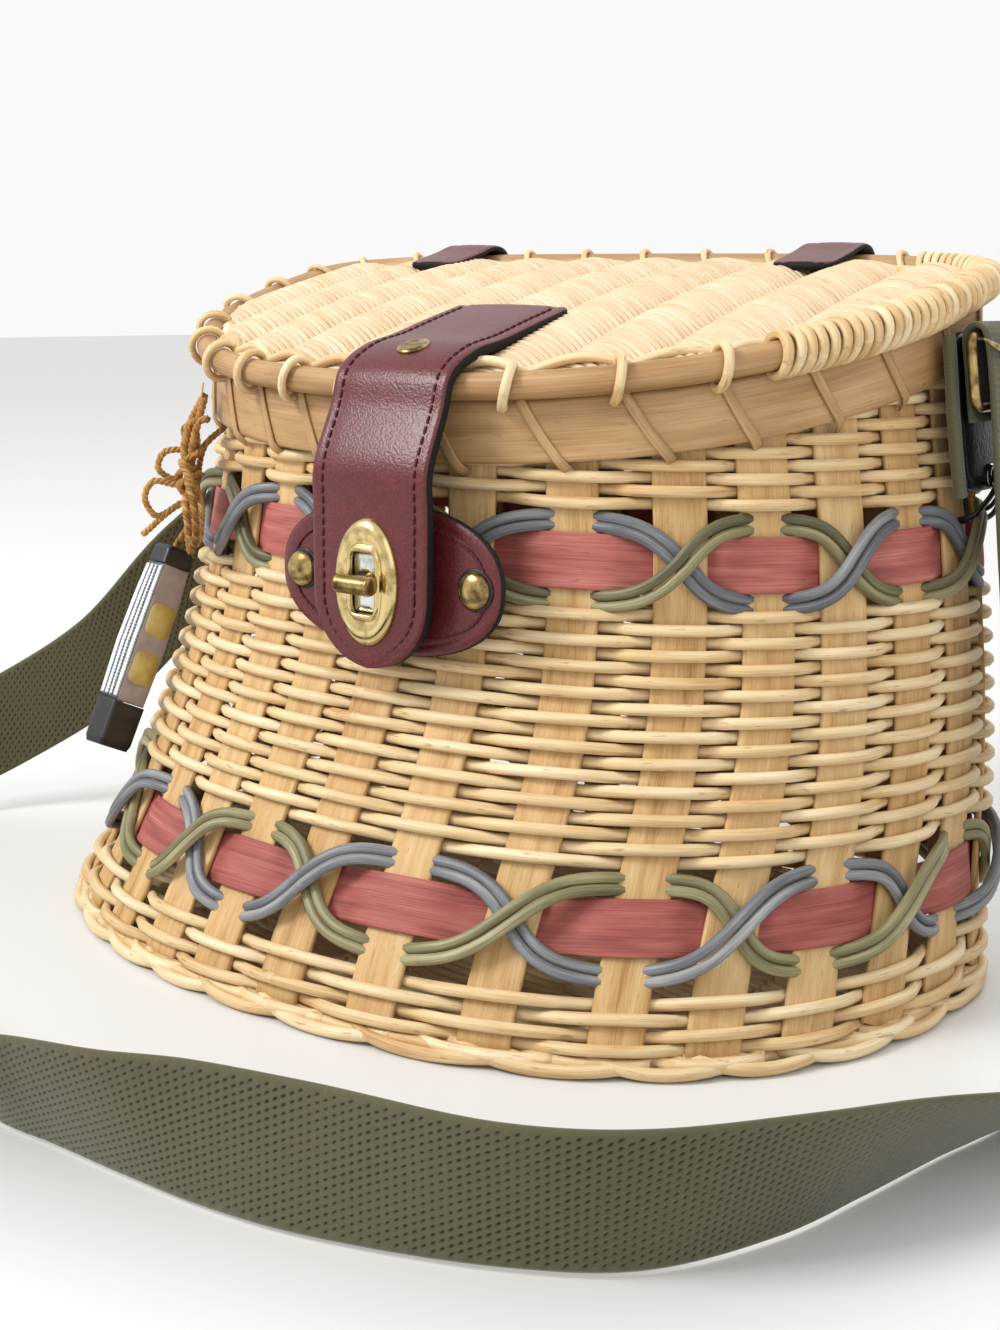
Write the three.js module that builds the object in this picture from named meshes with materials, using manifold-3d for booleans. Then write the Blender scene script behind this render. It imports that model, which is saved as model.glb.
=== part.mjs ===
// Fishing creel bag: woven basket with a tilted lid, turn-lock strap and shoulder strap.
// Millimetres, +Z up, the front faces -Y. The origin is under the middle of the base.
import * as THREE from 'three';
import { mergeVertices } from 'three/addons/utils/BufferGeometryUtils.js';
import Module from 'manifold-3d';

// Basket body
const basketHalfWidth = 162;
const basketHalfDepth = 109;
const basketHeight = 200;
const bellyHeight = 22;
const baseThickness = 5;
const baseScallop = 1.6;
const wallThickness = 5;
const stakeCount = 28;
const stakePhase = 0.45;
const stakeWidthShare = 0.5;
const stakeEdgeShare = 0.08;
const stakeProud = 1;
const frontRoundness = 2.26;
const backRoundness = 2.8;

// Tilted rim and lid
const rimFrontHeight = 185.6;
const rimTilt = THREE.MathUtils.degToRad(13.6);
const rimBandHeight = 19;
const rimBandThickness = 3.2;
const rimBandDrop = 0.6;
const lidRodRadius = 4.25;
const lidOverhang = 5.1;
const lidThickness = 6;
const lidRibCount = 10;
const lidRibHeight = 1.8;
const lidDome = 5;
const lidWrapThickness = 2;

// Dyed bands and lacing canes
const bandHeight = 17;
const bandThickness = 1.2;
const lowerBandHeight = 38.4;
const upperBandHeight = 139.2;
const laceWidth = 7.2;
const laceThickness = 2.4;
const laceSwing = 12.2;
const laceSteepness = 1.5;

// Leather closure with its turn lock
const leatherThickness = 2.5;
const closureWidth = 44;
const lockDrop = 8.2;
const lockHeight = upperBandHeight - lockDrop;
const lockTabWidth = 87;
const lockTabHeight = 47;
const lockTabStandoff = 4;
const plateHeight = 39;
const plateWidth = 24;
const plateThickness = 2.4;
const slotHeight = 18;
const slotWidth = 9;
const knobLength = 14;
const knobRadius = 2.9;
const postRadius = 1.9;
const collarRadius = 3.4;
const collarLength = 6;
const lockBaseRadius = 8;
const lockBaseThickness = 1.2;
const rivetRadius = 5.6;
const rivetHeight = 3;
const rivetSpacing = 68;
const capRivetRadius = 5;
const capRivetHeight = 1.4;

// Hinge tabs at the back of the lid
const hingeSpacing = 157;
const hingeWidth = 27;
const hingeReach = 22;
const hingeLift = 1.4;

// Shoulder strap and the pieces that hold it
const webbingWidth = 38;
const webbingThickness = 2;
const sideTabWidth = 40;
const sideTabY = 72;
const sideTabFoot = upperBandHeight + laceSwing + 4.6;
const sideTabTop = rimFrontHeight + 20.4;
const sideTabHeight = sideTabTop - sideTabFoot;
const sideTabZ = (sideTabTop + sideTabFoot) / 2;
const sideTabStandoff = 5.8;
const sideTabCorner = 6;
const bindingWidth = 5;
const bindingThickness = 3;
const eyeletRadius = 4.2;
const eyeletHole = 2;
const eyeletHeight = 1;
const wireRadius = 1.6;
const buckleHeight = 22;
const buckleCorner = 4;
const buckleStandoff = 14;
const buckleRise = 12;
const prongRadius = 1.1;
const prongStandoff = 6.5;

// Twine and the small pendant tied to it
const twineRadius = 1.2;
const pendantLength = 76;
const pendantWidth = 11.5;
const pendantDepth = 14.5;

// Clearances
const fit = 0.3;
const looseFit = 0.8;
const bandSeat = 0.7;
const laceGap = 0.85;

const group = new THREE.Group();
group.name = 'fishing_creel_bag';

const palette = {
  reed: 0xdcc193,
  stake: 0xcfa468,
  rose: 0xb8625a,
  slate: 0x74757f,
  olive: 0x6e6b49,
  maroon: 0x5e2029,
  black: 0x1c1a1b,
  brass: 0xb59a5c,
  nickel: 0xb9bbbd,
  webbing: 0x55512f,
  jute: 0x9a6b34,
};

function addPiece(name, geometry, colour) {
  const material = new THREE.MeshStandardMaterial({ color: colour, roughness: 0.7 });
  const mesh = new THREE.Mesh(geometry, material);
  mesh.name = name;
  group.add(mesh);
  return mesh;
}

// Skin a run of equal closed rings. A closed run joins its last ring to its first.
// Both faces of a thin strip are creased the same way, so they can't meet where it twists.
function skinRings(rings, closedRun, thin = false) {
  const ringSize = rings[0].length;
  const positions = rings.flat().flatMap((p) => [p.x, p.y, p.z]);
  const indices = [];
  const runs = closedRun ? rings.length : rings.length - 1;
  for (let i = 0; i < runs; i += 1) {
    const next = (i + 1) % rings.length;
    for (let j = 0; j < ringSize; j += 1) {
      const k = (j + 1) % ringSize;
      const a = i * ringSize + j;
      const b = i * ringSize + k;
      const c = next * ringSize + k;
      const d = next * ringSize + j;
      if (thin && j >= ringSize / 2) indices.push(a, b, d, b, c, d);
      else indices.push(a, b, c, a, c, d);
    }
  }
  if (!closedRun) {
    const last = (rings.length - 1) * ringSize;
    const flat = THREE.ShapeUtils.triangulateShape(flatten(rings[0]), []);
    flat.forEach(([a, b, c]) => indices.push(a, c, b));
    const flatEnd = THREE.ShapeUtils.triangulateShape(flatten(rings[rings.length - 1]), []);
    flatEnd.forEach(([a, b, c]) => indices.push(last + a, last + b, last + c));
  }
  const geometry = new THREE.BufferGeometry();
  geometry.setAttribute('position', new THREE.Float32BufferAttribute(positions, 3));
  geometry.setIndex(indices);
  return outward(geometry);
}

// A ring drawn on its own plane, wound anticlockwise seen from its first side.
function flatten(ring) {
  const centre = ring.reduce((sum, p) => sum.add(p), new THREE.Vector3()).divideScalar(ring.length);
  const normal = new THREE.Vector3();
  ring.forEach((p, i) => {
    const q = ring[(i + 1) % ring.length];
    normal.add(p.clone().sub(centre).cross(q.clone().sub(centre)));
  });
  normal.normalize();
  const across = ring[0].clone().sub(centre).normalize();
  const up = normal.clone().cross(across);
  return ring.map((p) => {
    const d = p.clone().sub(centre);
    return new THREE.Vector2(d.dot(across), d.dot(up));
  });
}

// Turn a closed body inside out when its volume comes out negative.
function outward(geometry) {
  const p = geometry.getAttribute('position');
  const index = geometry.getIndex().array;
  const corner = [new THREE.Vector3(), new THREE.Vector3(), new THREE.Vector3()];
  let volume = 0;
  for (let i = 0; i < index.length; i += 3) {
    corner.forEach((v, n) => v.fromBufferAttribute(p, index[i + n]));
    volume += corner[0].dot(corner[1].clone().cross(corner[2]));
  }
  if (volume < 0) {
    for (let i = 0; i < index.length; i += 3) {
      const held = index[i + 1];
      index[i + 1] = index[i + 2];
      index[i + 2] = held;
    }
  }
  geometry.computeVertexNormals();
  return geometry;
}

// Plan section of the basket by height. Lengths are shares of the named half sizes.
const basketProfile = [
  { height: 0, halfWidth: 1.034, front: 1, middle: 0.265, back: 0.99 },
  { height: 0.04, halfWidth: 1.03, front: 0.99, middle: 0.3, back: 0.99 },
  { height: 0.11, halfWidth: 1.005, front: 0.92, middle: 0.42, back: 0.98 },
  { height: 0.2, halfWidth: 0.987, front: 0.815, middle: 0.5, back: 0.975 },
  { height: 0.3, halfWidth: 0.973, front: 0.715, middle: 0.57, back: 0.97 },
  { height: 0.4, halfWidth: 0.957, front: 0.62, middle: 0.62, back: 0.965 },
  { height: 0.5, halfWidth: 0.94, front: 0.545, middle: 0.655, back: 0.96 },
  { height: 0.61, halfWidth: 0.92, front: 0.495, middle: 0.675, back: 0.955 },
  { height: 0.73, halfWidth: 0.896, front: 0.468, middle: 0.69, back: 0.945 },
  { height: 0.86, halfWidth: 0.864, front: 0.457, middle: 0.7, back: 0.935 },
  { height: 1, halfWidth: 0.84, front: 0.455, middle: 0.715, back: 0.925 },
  { height: 1.25, halfWidth: 0.832, front: 0.46, middle: 0.735, back: 0.915 },
];

function profileAt(z) {
  const share = z / basketHeight;
  const rows = basketProfile;
  let i = rows.findIndex((row) => row.height >= share);
  i = i < 0 ? rows.length - 1 : Math.max(i, 1);
  const low = rows[i - 1];
  const high = rows[i];
  const mix = (share - low.height) / (high.height - low.height);
  const at = (column) => THREE.MathUtils.lerp(low[column], high[column], mix);
  return {
    halfWidth: at('halfWidth') * basketHalfWidth,
    front: -at('front') * basketHalfDepth,
    middle: at('middle') * basketHalfDepth,
    back: at('back') * basketHalfDepth,
  };
}

// Point of the plan curve at an angle: zero is the front centre, a quarter turn is the right.
function planPoint(section, angle) {
  const s = Math.sin(angle);
  const c = Math.cos(angle);
  const power = 2 / (c >= 0 ? frontRoundness : backRoundness);
  const depth = c >= 0 ? section.front - section.middle : section.back - section.middle;
  const x = section.halfWidth * Math.sign(s) * Math.abs(s) ** power;
  return new THREE.Vector2(x, section.middle + depth * Math.abs(c) ** power);
}

// Angles that share out the belly line into equal lengths.
const turnTable = (() => {
  const steps = 4000;
  const section = profileAt(bellyHeight);
  const lengths = [0];
  let last = planPoint(section, 0);
  for (let i = 1; i <= steps; i += 1) {
    const here = planPoint(section, (i / steps) * 2 * Math.PI);
    lengths.push(lengths[i - 1] + here.distanceTo(last));
    last = here;
  }
  return { steps, lengths };
})();

function angleAt(turn) {
  const { steps, lengths } = turnTable;
  const wanted = (turn - Math.floor(turn)) * lengths[steps];
  let low = 0;
  let high = steps;
  while (high - low > 1) {
    const half = (low + high) >> 1;
    if (lengths[half] <= wanted) low = half;
    else high = half;
  }
  const mix = (wanted - lengths[low]) / (lengths[high] - lengths[low]);
  return ((low + mix) / steps) * 2 * Math.PI;
}

// Point of the wall's face at a turn round the basket and a height, moved out by a distance.
function wallPoint(turn, z, out = 0) {
  const angle = angleAt(turn);
  const section = profileAt(z);
  const here = planPoint(section, angle);
  const step = 0.01;
  const before = planPoint(section, angle - step);
  const after = planPoint(section, angle + step);
  const along = after.sub(before).normalize();
  return new THREE.Vector3(here.x + along.y * out, here.y - along.x * out, z);
}

const rimFrontY = wallPoint(0, rimFrontHeight).y;

function rimHeightAt(y) {
  return rimFrontHeight + Math.tan(rimTilt) * (y - rimFrontY);
}

// The wall's top line follows the tilted rim, so height and plan are solved together.
function topHeight(turn) {
  let z = rimFrontHeight;
  for (let i = 0; i < 10; i += 1) {
    z = rimHeightAt(wallPoint(turn, z).y);
  }
  return z;
}

// The wall is straight between a few rows, and what lies on it follows the same rows.
const wallBottom = baseThickness + fit;
const wallRows = [0, 0.1, 0.25, 0.4, 0.55, 0.75, 1];

function facePoint(turn, z, out = 0) {
  const top = topHeight(turn) - fit;
  const share = THREE.MathUtils.clamp((z - wallBottom) / (top - wallBottom), 0, 1);
  const i = Math.max(1, wallRows.findIndex((row) => row >= share));
  const low = THREE.MathUtils.lerp(wallBottom, top, wallRows[i - 1]);
  const high = THREE.MathUtils.lerp(wallBottom, top, wallRows[i]);
  const mix = (z - low) / (high - low);
  return wallPoint(turn, low, out).lerp(wallPoint(turn, high, out), mix);
}

// Direction square to the wall's face, its slope included.
function faceNormal(turn, z) {
  const level = facePoint(turn, z, 1).sub(facePoint(turn, z)).setZ(0).normalize();
  const slope = facePoint(turn, z + 1).sub(facePoint(turn, z - 1)).normalize();
  return level.addScaledVector(slope, -level.dot(slope)).normalize();
}

function skinPoint(turn, z, out) {
  return facePoint(turn, z).addScaledVector(faceNormal(turn, z), out);
}

function rimPoint(turn, drop, out) {
  return skinPoint(turn, topHeight(turn) - drop, out);
}

function turns(count) {
  return Array.from({ length: count }, (_, i) => i / count);
}

// Hand setting: how far each stake near the front stands off its even place, in shares of the pitch.
const stakeDrift = new Map([
  [-2, -0.1],
  [-1, -0.24],
  [0, -0.32],
  [1, -0.26],
  [2, -0.06],
  [3, 0.12],
  [4, 0.06],
]);

function stakeTurn(stake) {
  const halfRound = stakeCount / 2;
  const nearest = ((stake + halfRound) % stakeCount + stakeCount) % stakeCount - halfRound;
  const low = Math.floor(nearest);
  const drift = THREE.MathUtils.lerp(stakeDrift.get(low) ?? 0, stakeDrift.get(low + 1) ?? 0, nearest - low);
  return (stake + stakePhase + drift) / stakeCount;
}

// Four lines a stake: two at its edges and two in the hollow beside it.
const halfStake = stakeWidthShare / 2;
const wallLines = Array.from({ length: stakeCount }, (_, k) => [
  { turn: stakeTurn(k - halfStake), out: 0 },
  { turn: stakeTurn(k + halfStake), out: 0 },
  { turn: stakeTurn(k + halfStake + stakeEdgeShare), out: -stakeProud },
  { turn: stakeTurn(k + 1 - halfStake - stakeEdgeShare), out: -stakeProud },
]).flat();

addPiece('basket_wall', skinRings(wallLines.map(({ turn, out }) => {
  const top = topHeight(turn) - fit;
  const heights = wallRows.map((row) => THREE.MathUtils.lerp(wallBottom, top, row));
  const outer = heights.map((z) => wallPoint(turn, z, out));
  const inner = heights.map((z) => wallPoint(turn, z, -stakeProud - wallThickness));
  return outer.concat(inner.filter((_, i) => i % 2 === 0).reverse());
}), true), palette.reed);

// Base: a board of weave with a scalloped border, flat underneath.
const borderPoints = turns(stakeCount * 3)
  .map((turn, i) => wallPoint(turn, 0, i % 3 === 0 ? -baseScallop : 0));
const baseShape = new THREE.Shape(borderPoints.map((p) => new THREE.Vector2(p.x, p.y)));
const baseGeometry = new THREE.ExtrudeGeometry(baseShape, { depth: baseThickness, bevelEnabled: false });
addPiece('basket_base', baseGeometry, palette.reed);

// Hoops that lie on the stakes have one line at each stake edge.
const hoopTurns = wallLines.filter(({ out }) => out === 0).map(({ turn }) => turn);

function hoop(heightsAt, inside, thickness) {
  return skinRings(hoopTurns.map((turn) => {
    const [low, high] = heightsAt(turn);
    return [
      skinPoint(turn, low, inside),
      skinPoint(turn, low, inside + thickness),
      skinPoint(turn, high, inside + thickness),
      skinPoint(turn, high, inside),
    ];
  }), true);
}

addPiece('rim_band', hoop((turn) => {
  const high = topHeight(turn) - fit - rimBandDrop;
  return [high - rimBandHeight, high];
}, fit, rimBandThickness), palette.stake);

[['lower_band', lowerBandHeight], ['upper_band', upperBandHeight]].forEach(([name, z]) => {
  const edges = [z - bandHeight / 2, z + bandHeight / 2];
  addPiece(name, hoop(() => edges, bandSeat, bandThickness), palette.rose);
});

// Lacing: two canes a band swing above and below it and cross over each other at every second stake.
const laceLow = bandSeat + bandThickness + laceGap + laceThickness / 2;
const laceStep = laceThickness + laceGap;
const laceMarks = [-0.5, -0.22, 0.22, 0.5, 1];

function laceCentre(stake, bandZ, shift) {
  const phase = ((stake + shift) * Math.PI) / 2;
  const swing = Math.tanh(laceSteepness * Math.sin(phase)) / Math.tanh(laceSteepness);
  const fromRise = Math.abs((((stake + shift + 2) % 4) + 4) % 4 - 2);
  const over = 1 - THREE.MathUtils.smoothstep(fromRise, 0.3, 0.9);
  return skinPoint(stakeTurn(stake), bandZ + laceSwing * swing, laceLow + laceStep * over);
}

function lace(bandZ, shift) {
  const crossings = Array.from({ length: stakeCount / 2 }, (_, i) => 2 * i + (shift % 2));
  return skinRings(crossings.flatMap((crossing) => laceMarks.map((mark) => {
    const stake = crossing + mark;
    const centre = laceCentre(stake, bandZ, shift);
    const before = laceCentre(stake - 0.2, bandZ, shift);
    const after = laceCentre(stake + 0.2, bandZ, shift);
    const along = after.sub(before).normalize();
    const normal = faceNormal(stakeTurn(stake), centre.z);
    const across = normal.clone().cross(along).normalize();
    const out = along.clone().cross(across).normalize();
    return [[-1, -1], [1, -1], [1, 1], [-1, 1]].map(([w, t]) => centre.clone()
      .addScaledVector(across, (w * laceWidth) / 2)
      .addScaledVector(out, (t * laceThickness) / 2));
  })), true);
}

addPiece('lower_lace_slate', lace(lowerBandHeight, 0), palette.slate);
addPiece('lower_lace_olive', lace(lowerBandHeight, 2), palette.olive);
addPiece('upper_lace_slate', lace(upperBandHeight, 3), palette.slate);
addPiece('upper_lace_olive', lace(upperBandHeight, 1), palette.olive);

// Lid: its outline is the rim's own line with a small overhang, laid in the tilted plane.
const lidUp = new THREE.Vector3(0, -Math.sin(rimTilt), Math.cos(rimTilt));
const lidBack = new THREE.Vector3(0, Math.cos(rimTilt), Math.sin(rimTilt));
const lidLift = lidRodRadius + fit;
const lidOrigin = new THREE.Vector3(0, rimFrontY, rimFrontHeight).addScaledVector(lidUp, lidLift);

function lidLine(turn, out) {
  const point = wallPoint(turn, topHeight(turn), lidOverhang + out);
  point.z = rimHeightAt(point.y);
  return point.addScaledVector(lidUp, lidLift);
}

function lidPoint(x, back, up) {
  return lidOrigin.clone()
    .addScaledVector(lidBack, back)
    .addScaledVector(lidUp, up)
    .setX(x);
}

// A round bar along a run of points, each ring square to the run and carried on without a twist.
function barRings(points, radius, sides, closedRun) {
  let across = new THREE.Vector3();
  return points.map((p, i) => {
    const count = points.length;
    const before = closedRun ? points[(i + count - 1) % count] : points[Math.max(i - 1, 0)];
    const after = closedRun ? points[(i + 1) % count] : points[Math.min(i + 1, count - 1)];
    const along = after.clone().sub(before).normalize();
    if (i === 0) {
      const seed = Math.abs(along.z) > 0.9 ? new THREE.Vector3(0, 1, 0) : new THREE.Vector3(0, 0, 1);
      across = seed.cross(along);
    }
    across = across.clone().addScaledVector(along, -across.dot(along)).normalize();
    const up = along.clone().cross(across);
    return Array.from({ length: sides }, (_, j) => {
      const a = ((j + 0.5) / sides) * 2 * Math.PI;
      return p.clone()
        .addScaledVector(across, Math.cos(a) * radius)
        .addScaledVector(up, Math.sin(a) * radius);
    });
  });
}

const rodSteps = 56;
const rodSides = 7;
const rodRun = turns(rodSteps).map((turn) => lidLine(turn, 0));
addPiece('lid_rod', skinRings(barRings(rodRun, lidRodRadius, rodSides, true), true), palette.stake);

// Lid panel: ribs run from front to back, so it is skinned in slices across its width.
const panelInset = lidRodRadius + looseFit;
const panelEdge = turns(360).map((turn) => {
  const p = lidLine(turn, -panelInset).sub(lidOrigin);
  return new THREE.Vector2(p.x, p.dot(lidBack));
});
const panelHalfWidth = Math.max(...panelEdge.map((p) => p.x)) * 0.985;

function panelSpan(x) {
  const crossings = panelEdge.flatMap((p, i) => {
    const q = panelEdge[(i + 1) % panelEdge.length];
    if ((p.x - x) * (q.x - x) > 0 || p.x === q.x) return [];
    return [THREE.MathUtils.lerp(p.y, q.y, (x - p.x) / (q.x - p.x))];
  });
  return [Math.min(...crossings), Math.max(...crossings)];
}

const panelSlices = lidRibCount * 4;
const panelRows = [0, 0.08, 0.25, 0.5, 0.75, 0.94, 1];

function panelTop(x, backShare, slice) {
  const rib = [0, 0.75, 1, 0.75][slice % 4] * lidRibHeight;
  const reach = 1 - (x / panelHalfWidth) ** 2;
  const crown = lidDome * Math.max(reach, 0) * 4 * backShare * (1 - backShare);
  return lidThickness / 2 - lidRibHeight + rib + crown;
}

addPiece('lid_panel', skinRings(Array.from({ length: panelSlices + 1 }, (_, slice) => {
  const x = panelHalfWidth * ((2 * slice) / panelSlices - 1);
  const [front, back] = panelSpan(x);
  const at = (row) => THREE.MathUtils.lerp(front, back, row);
  const top = panelRows.map((row) => lidPoint(x, at(row), panelTop(x, row, slice)));
  const underside = (row) => panelTop(x, row, 0) - lidThickness + lidRibHeight;
  const under = [1, 0.5, 0].map((row) => lidPoint(x, at(row), underside(row)));
  return top.concat(under);
}), false), palette.reed);

// Close winding over the rod round the right of the lid, open on the panel's side.
const wrapStart = 0.085;
const wrapEnd = 0.34;
const wrapSteps = 16;
const wrapInner = lidRodRadius + looseFit + fit;
const wrapAngles = [-32, 0, 35, 70, 105, 140].map((a) => THREE.MathUtils.degToRad(a));
addPiece('lid_edge_wrap', skinRings(Array.from({ length: wrapSteps + 1 }, (_, i) => {
  const turn = THREE.MathUtils.lerp(wrapStart, wrapEnd, i / wrapSteps);
  const centre = lidLine(turn, 0);
  const outDir = lidLine(turn, 1).sub(centre).normalize();
  const arc = (radius) => wrapAngles.map((a) => centre.clone()
    .addScaledVector(outDir, Math.cos(a) * radius)
    .addScaledVector(lidUp, Math.sin(a) * radius));
  return arc(wrapInner).concat(arc(wrapInner + lidWrapThickness).reverse());
}), false), palette.reed);

// A strip of even thickness along a run of points with its own width direction at each.
function stripRings(stations, thickness) {
  return stations.map(({ at, across, half }, i) => {
    const before = stations[Math.max(i - 1, 0)].at;
    const after = stations[Math.min(i + 1, stations.length - 1)].at;
    const along = after.clone().sub(before).normalize();
    const side = across.clone().addScaledVector(along, -across.dot(along)).normalize();
    const face = along.clone().cross(side);
    return [[-1, -1], [1, -1], [1, 1], [-1, 1]].map(([w, t]) => at.clone()
      .addScaledVector(side, w * half)
      .addScaledVector(face, (t * thickness) / 2));
  });
}

const acrossBag = new THREE.Vector3(1, 0, 0);
const halfLeather = leatherThickness / 2;
const closureX = stakePhase * (turnTable.lengths[turnTable.steps] / stakeCount);
const rodFront = lidLine(0, 0);
const lidFrontBack = rodFront.clone().sub(lidOrigin).dot(lidBack);
const tabFaceY = facePoint(0, lockHeight - lockTabHeight / 2).y - lockTabStandoff;
const collarFrontY = tabFaceY - leatherThickness - fit - lockBaseThickness - collarLength;
const strapHangY = collarFrontY - halfLeather + 1;

// Closure strap: from the lid over the rod and down past the lock, as points of its side view.
const panelCrest = lidThickness / 2 + looseFit + halfLeather;
const overRod = lidRodRadius + looseFit + halfLeather;
const hangPoint = (z, y = strapHangY) => new THREE.Vector3(closureX, y, z);
const closureOnLid = [
  { back: 1.32, up: 0.207 },
  { back: 0.91, up: 0.202 },
  { back: 0.545, up: 0.193 },
  { back: 0.227, up: 0.202 },
  { back: 0, up: 0.157 },
].map(({ back, up }) => lidPoint(closureX, lidFrontBack + back * closureWidth, up * closureWidth));
const closureSide = closureOnLid.concat([
  hangPoint(rodFront.z + overRod * 0.5, rodFront.y - overRod * 0.85),
  hangPoint(rodFront.z - overRod, rodFront.y - overRod * 1.35),
  hangPoint(rodFront.z - closureWidth * 0.55),
  hangPoint(lockHeight + closureWidth / 2),
  hangPoint(lockHeight),
  hangPoint(lockHeight - closureWidth * 0.6),
]);
const closureCurve = new THREE.CatmullRomCurve3(closureSide, false, 'centripetal');
const closureLength = closureCurve.getLength();
const tipRadius = closureWidth / 2;
const tipSteps = [0.35, 0.62, 0.82, 0.94, 0.985];
const closureShares = Array.from({ length: 25 }, (_, i) => (i / 24) * (1 - tipRadius / closureLength))
  .concat(tipSteps.map((step) => 1 - (tipRadius * (1 - step)) / closureLength));

const closureStations = closureShares.map((share) => {
  const intoTip = Math.max(0, 1 - ((1 - share) * closureLength) / tipRadius);
  return {
    at: closureCurve.getPointAt(share),
    across: acrossBag,
    half: (closureWidth / 2) * Math.sqrt(1 - intoTip ** 2),
  };
});

const wasm = await Module();
wasm.setup();

function toManifold(geometry) {
  const plain = geometry.clone();
  plain.deleteAttribute('normal');
  plain.deleteAttribute('uv');
  const welded = mergeVertices(plain, 1e-5);
  return new wasm.Manifold(new wasm.Mesh({
    numProp: 3,
    vertProperties: new Float32Array(welded.getAttribute('position').array),
    triVerts: new Uint32Array(welded.getIndex().array),
  }));
}

function fromManifold(solid) {
  const mesh = solid.getMesh();
  const geometry = new THREE.BufferGeometry();
  geometry.setAttribute('position', new THREE.Float32BufferAttribute(mesh.vertProperties, 3));
  geometry.setIndex([...mesh.triVerts]);
  geometry.computeVertexNormals();
  return geometry;
}

const slotBox = new THREE.BoxGeometry(slotWidth, closureWidth, slotHeight);
slotBox.translate(closureX, strapHangY, lockHeight);
const closureSolid = toManifold(skinRings(stripRings(closureStations, leatherThickness), false, true));
addPiece('closure_strap', fromManifold(closureSolid.subtract(toManifold(slotBox))), palette.maroon);

function ellipseShape(width, height, points, fullness = 1) {
  return new THREE.Shape(Array.from({ length: points }, (_, i) => {
    const a = (i / points) * 2 * Math.PI;
    const [c, s] = [Math.cos(a), Math.sin(a)];
    const full = (v) => Math.sign(v) * Math.abs(v) ** fullness;
    return new THREE.Vector2((width / 2) * full(c), (height / 2) * full(s));
  }));
}

// Flat pieces are drawn in X and Z and grow towards the front.
function standUp(geometry, x, y, z) {
  geometry.rotateX(Math.PI / 2);
  geometry.translate(x, y, z);
  return geometry;
}

const tabShape = ellipseShape(lockTabWidth, lockTabHeight, 36, 0.86);
const tabGeometry = new THREE.ExtrudeGeometry(tabShape, { depth: leatherThickness, bevelEnabled: false });
addPiece('lock_tab', standUp(tabGeometry, closureX, tabFaceY, lockHeight), palette.maroon);

function lathe(profile, segments) {
  return new THREE.LatheGeometry(profile.map(([r, h]) => new THREE.Vector2(r, h)), segments);
}

// Turned pieces grow along +Y. This makes them grow towards the front.
function faceFront(geometry, x, y, z) {
  geometry.rotateX(Math.PI);
  geometry.translate(x, y, z);
  return geometry;
}

const domeProfile = (radius, height) => [
  [0, 0],
  [radius, 0],
  [radius * 0.92, height * 0.45],
  [radius * 0.62, height * 0.86],
  [0, height],
];
const tabFrontY = tabFaceY - leatherThickness;
[['left', -1], ['right', 1]].forEach(([side, sign]) => {
  const rivet = lathe(domeProfile(rivetRadius, rivetHeight), 12);
  const x = closureX + (sign * rivetSpacing) / 2;
  addPiece(`lock_rivet_${side}`, faceFront(rivet, x, tabFrontY - fit, lockHeight), palette.brass);
});

const lockBase = lathe([
  [0, 0],
  [lockBaseRadius, 0],
  [lockBaseRadius, lockBaseThickness],
  [collarRadius, lockBaseThickness],
  [collarRadius, lockBaseThickness + collarLength],
  [0, lockBaseThickness + collarLength],
], 14);
addPiece('lock_base', faceFront(lockBase, closureX, tabFrontY - fit, lockHeight), palette.brass);

const plateShape = ellipseShape(plateWidth, plateHeight, 24);
plateShape.holes.push(new THREE.Path([
  new THREE.Vector2(-slotWidth / 2, -slotHeight / 2),
  new THREE.Vector2(-slotWidth / 2, slotHeight / 2),
  new THREE.Vector2(slotWidth / 2, slotHeight / 2),
  new THREE.Vector2(slotWidth / 2, -slotHeight / 2),
]));
const plateGeometry = new THREE.ExtrudeGeometry(plateShape, { depth: plateThickness, bevelEnabled: false });
const strapFrontY = strapHangY - halfLeather;
addPiece('lock_plate', standUp(plateGeometry, closureX, strapFrontY - fit, lockHeight), palette.brass);

// Turn knob: a post through the slot with a cross bar that keeps the strap on.
const postStartY = collarFrontY - fit;
const knobY = strapFrontY - fit - plateThickness - looseFit - knobRadius;
const postLength = postStartY - knobY;
const post = lathe([[0, 0], [postRadius, 0], [postRadius, postLength], [0, postLength]], 12);
faceFront(post, closureX, postStartY, lockHeight);
const bar = new THREE.CylinderGeometry(knobRadius, knobRadius, knobLength, 14);
bar.rotateZ(Math.PI / 2);
bar.translate(closureX, knobY, lockHeight);
addPiece('turn_knob', fromManifold(toManifold(post).add(toManifold(bar))), palette.brass);

const capShare = 0.33;
const capStation = closureCurve.getPointAt(capShare);
const capAhead = closureCurve.getTangentAt(capShare);
const capUp = acrossBag.clone().cross(capAhead).negate().normalize();
if (capUp.z < 0) capUp.negate();
const capGeometry = lathe(domeProfile(capRivetRadius, capRivetHeight), 12);
capGeometry.applyQuaternion(new THREE.Quaternion().setFromUnitVectors(new THREE.Vector3(0, 1, 0), capUp));
const capSeat = capStation.clone().addScaledVector(capUp, halfLeather + fit);
capGeometry.translate(capSeat.x, capSeat.y, capSeat.z);
addPiece('closure_rivet', capGeometry, palette.brass);

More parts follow.
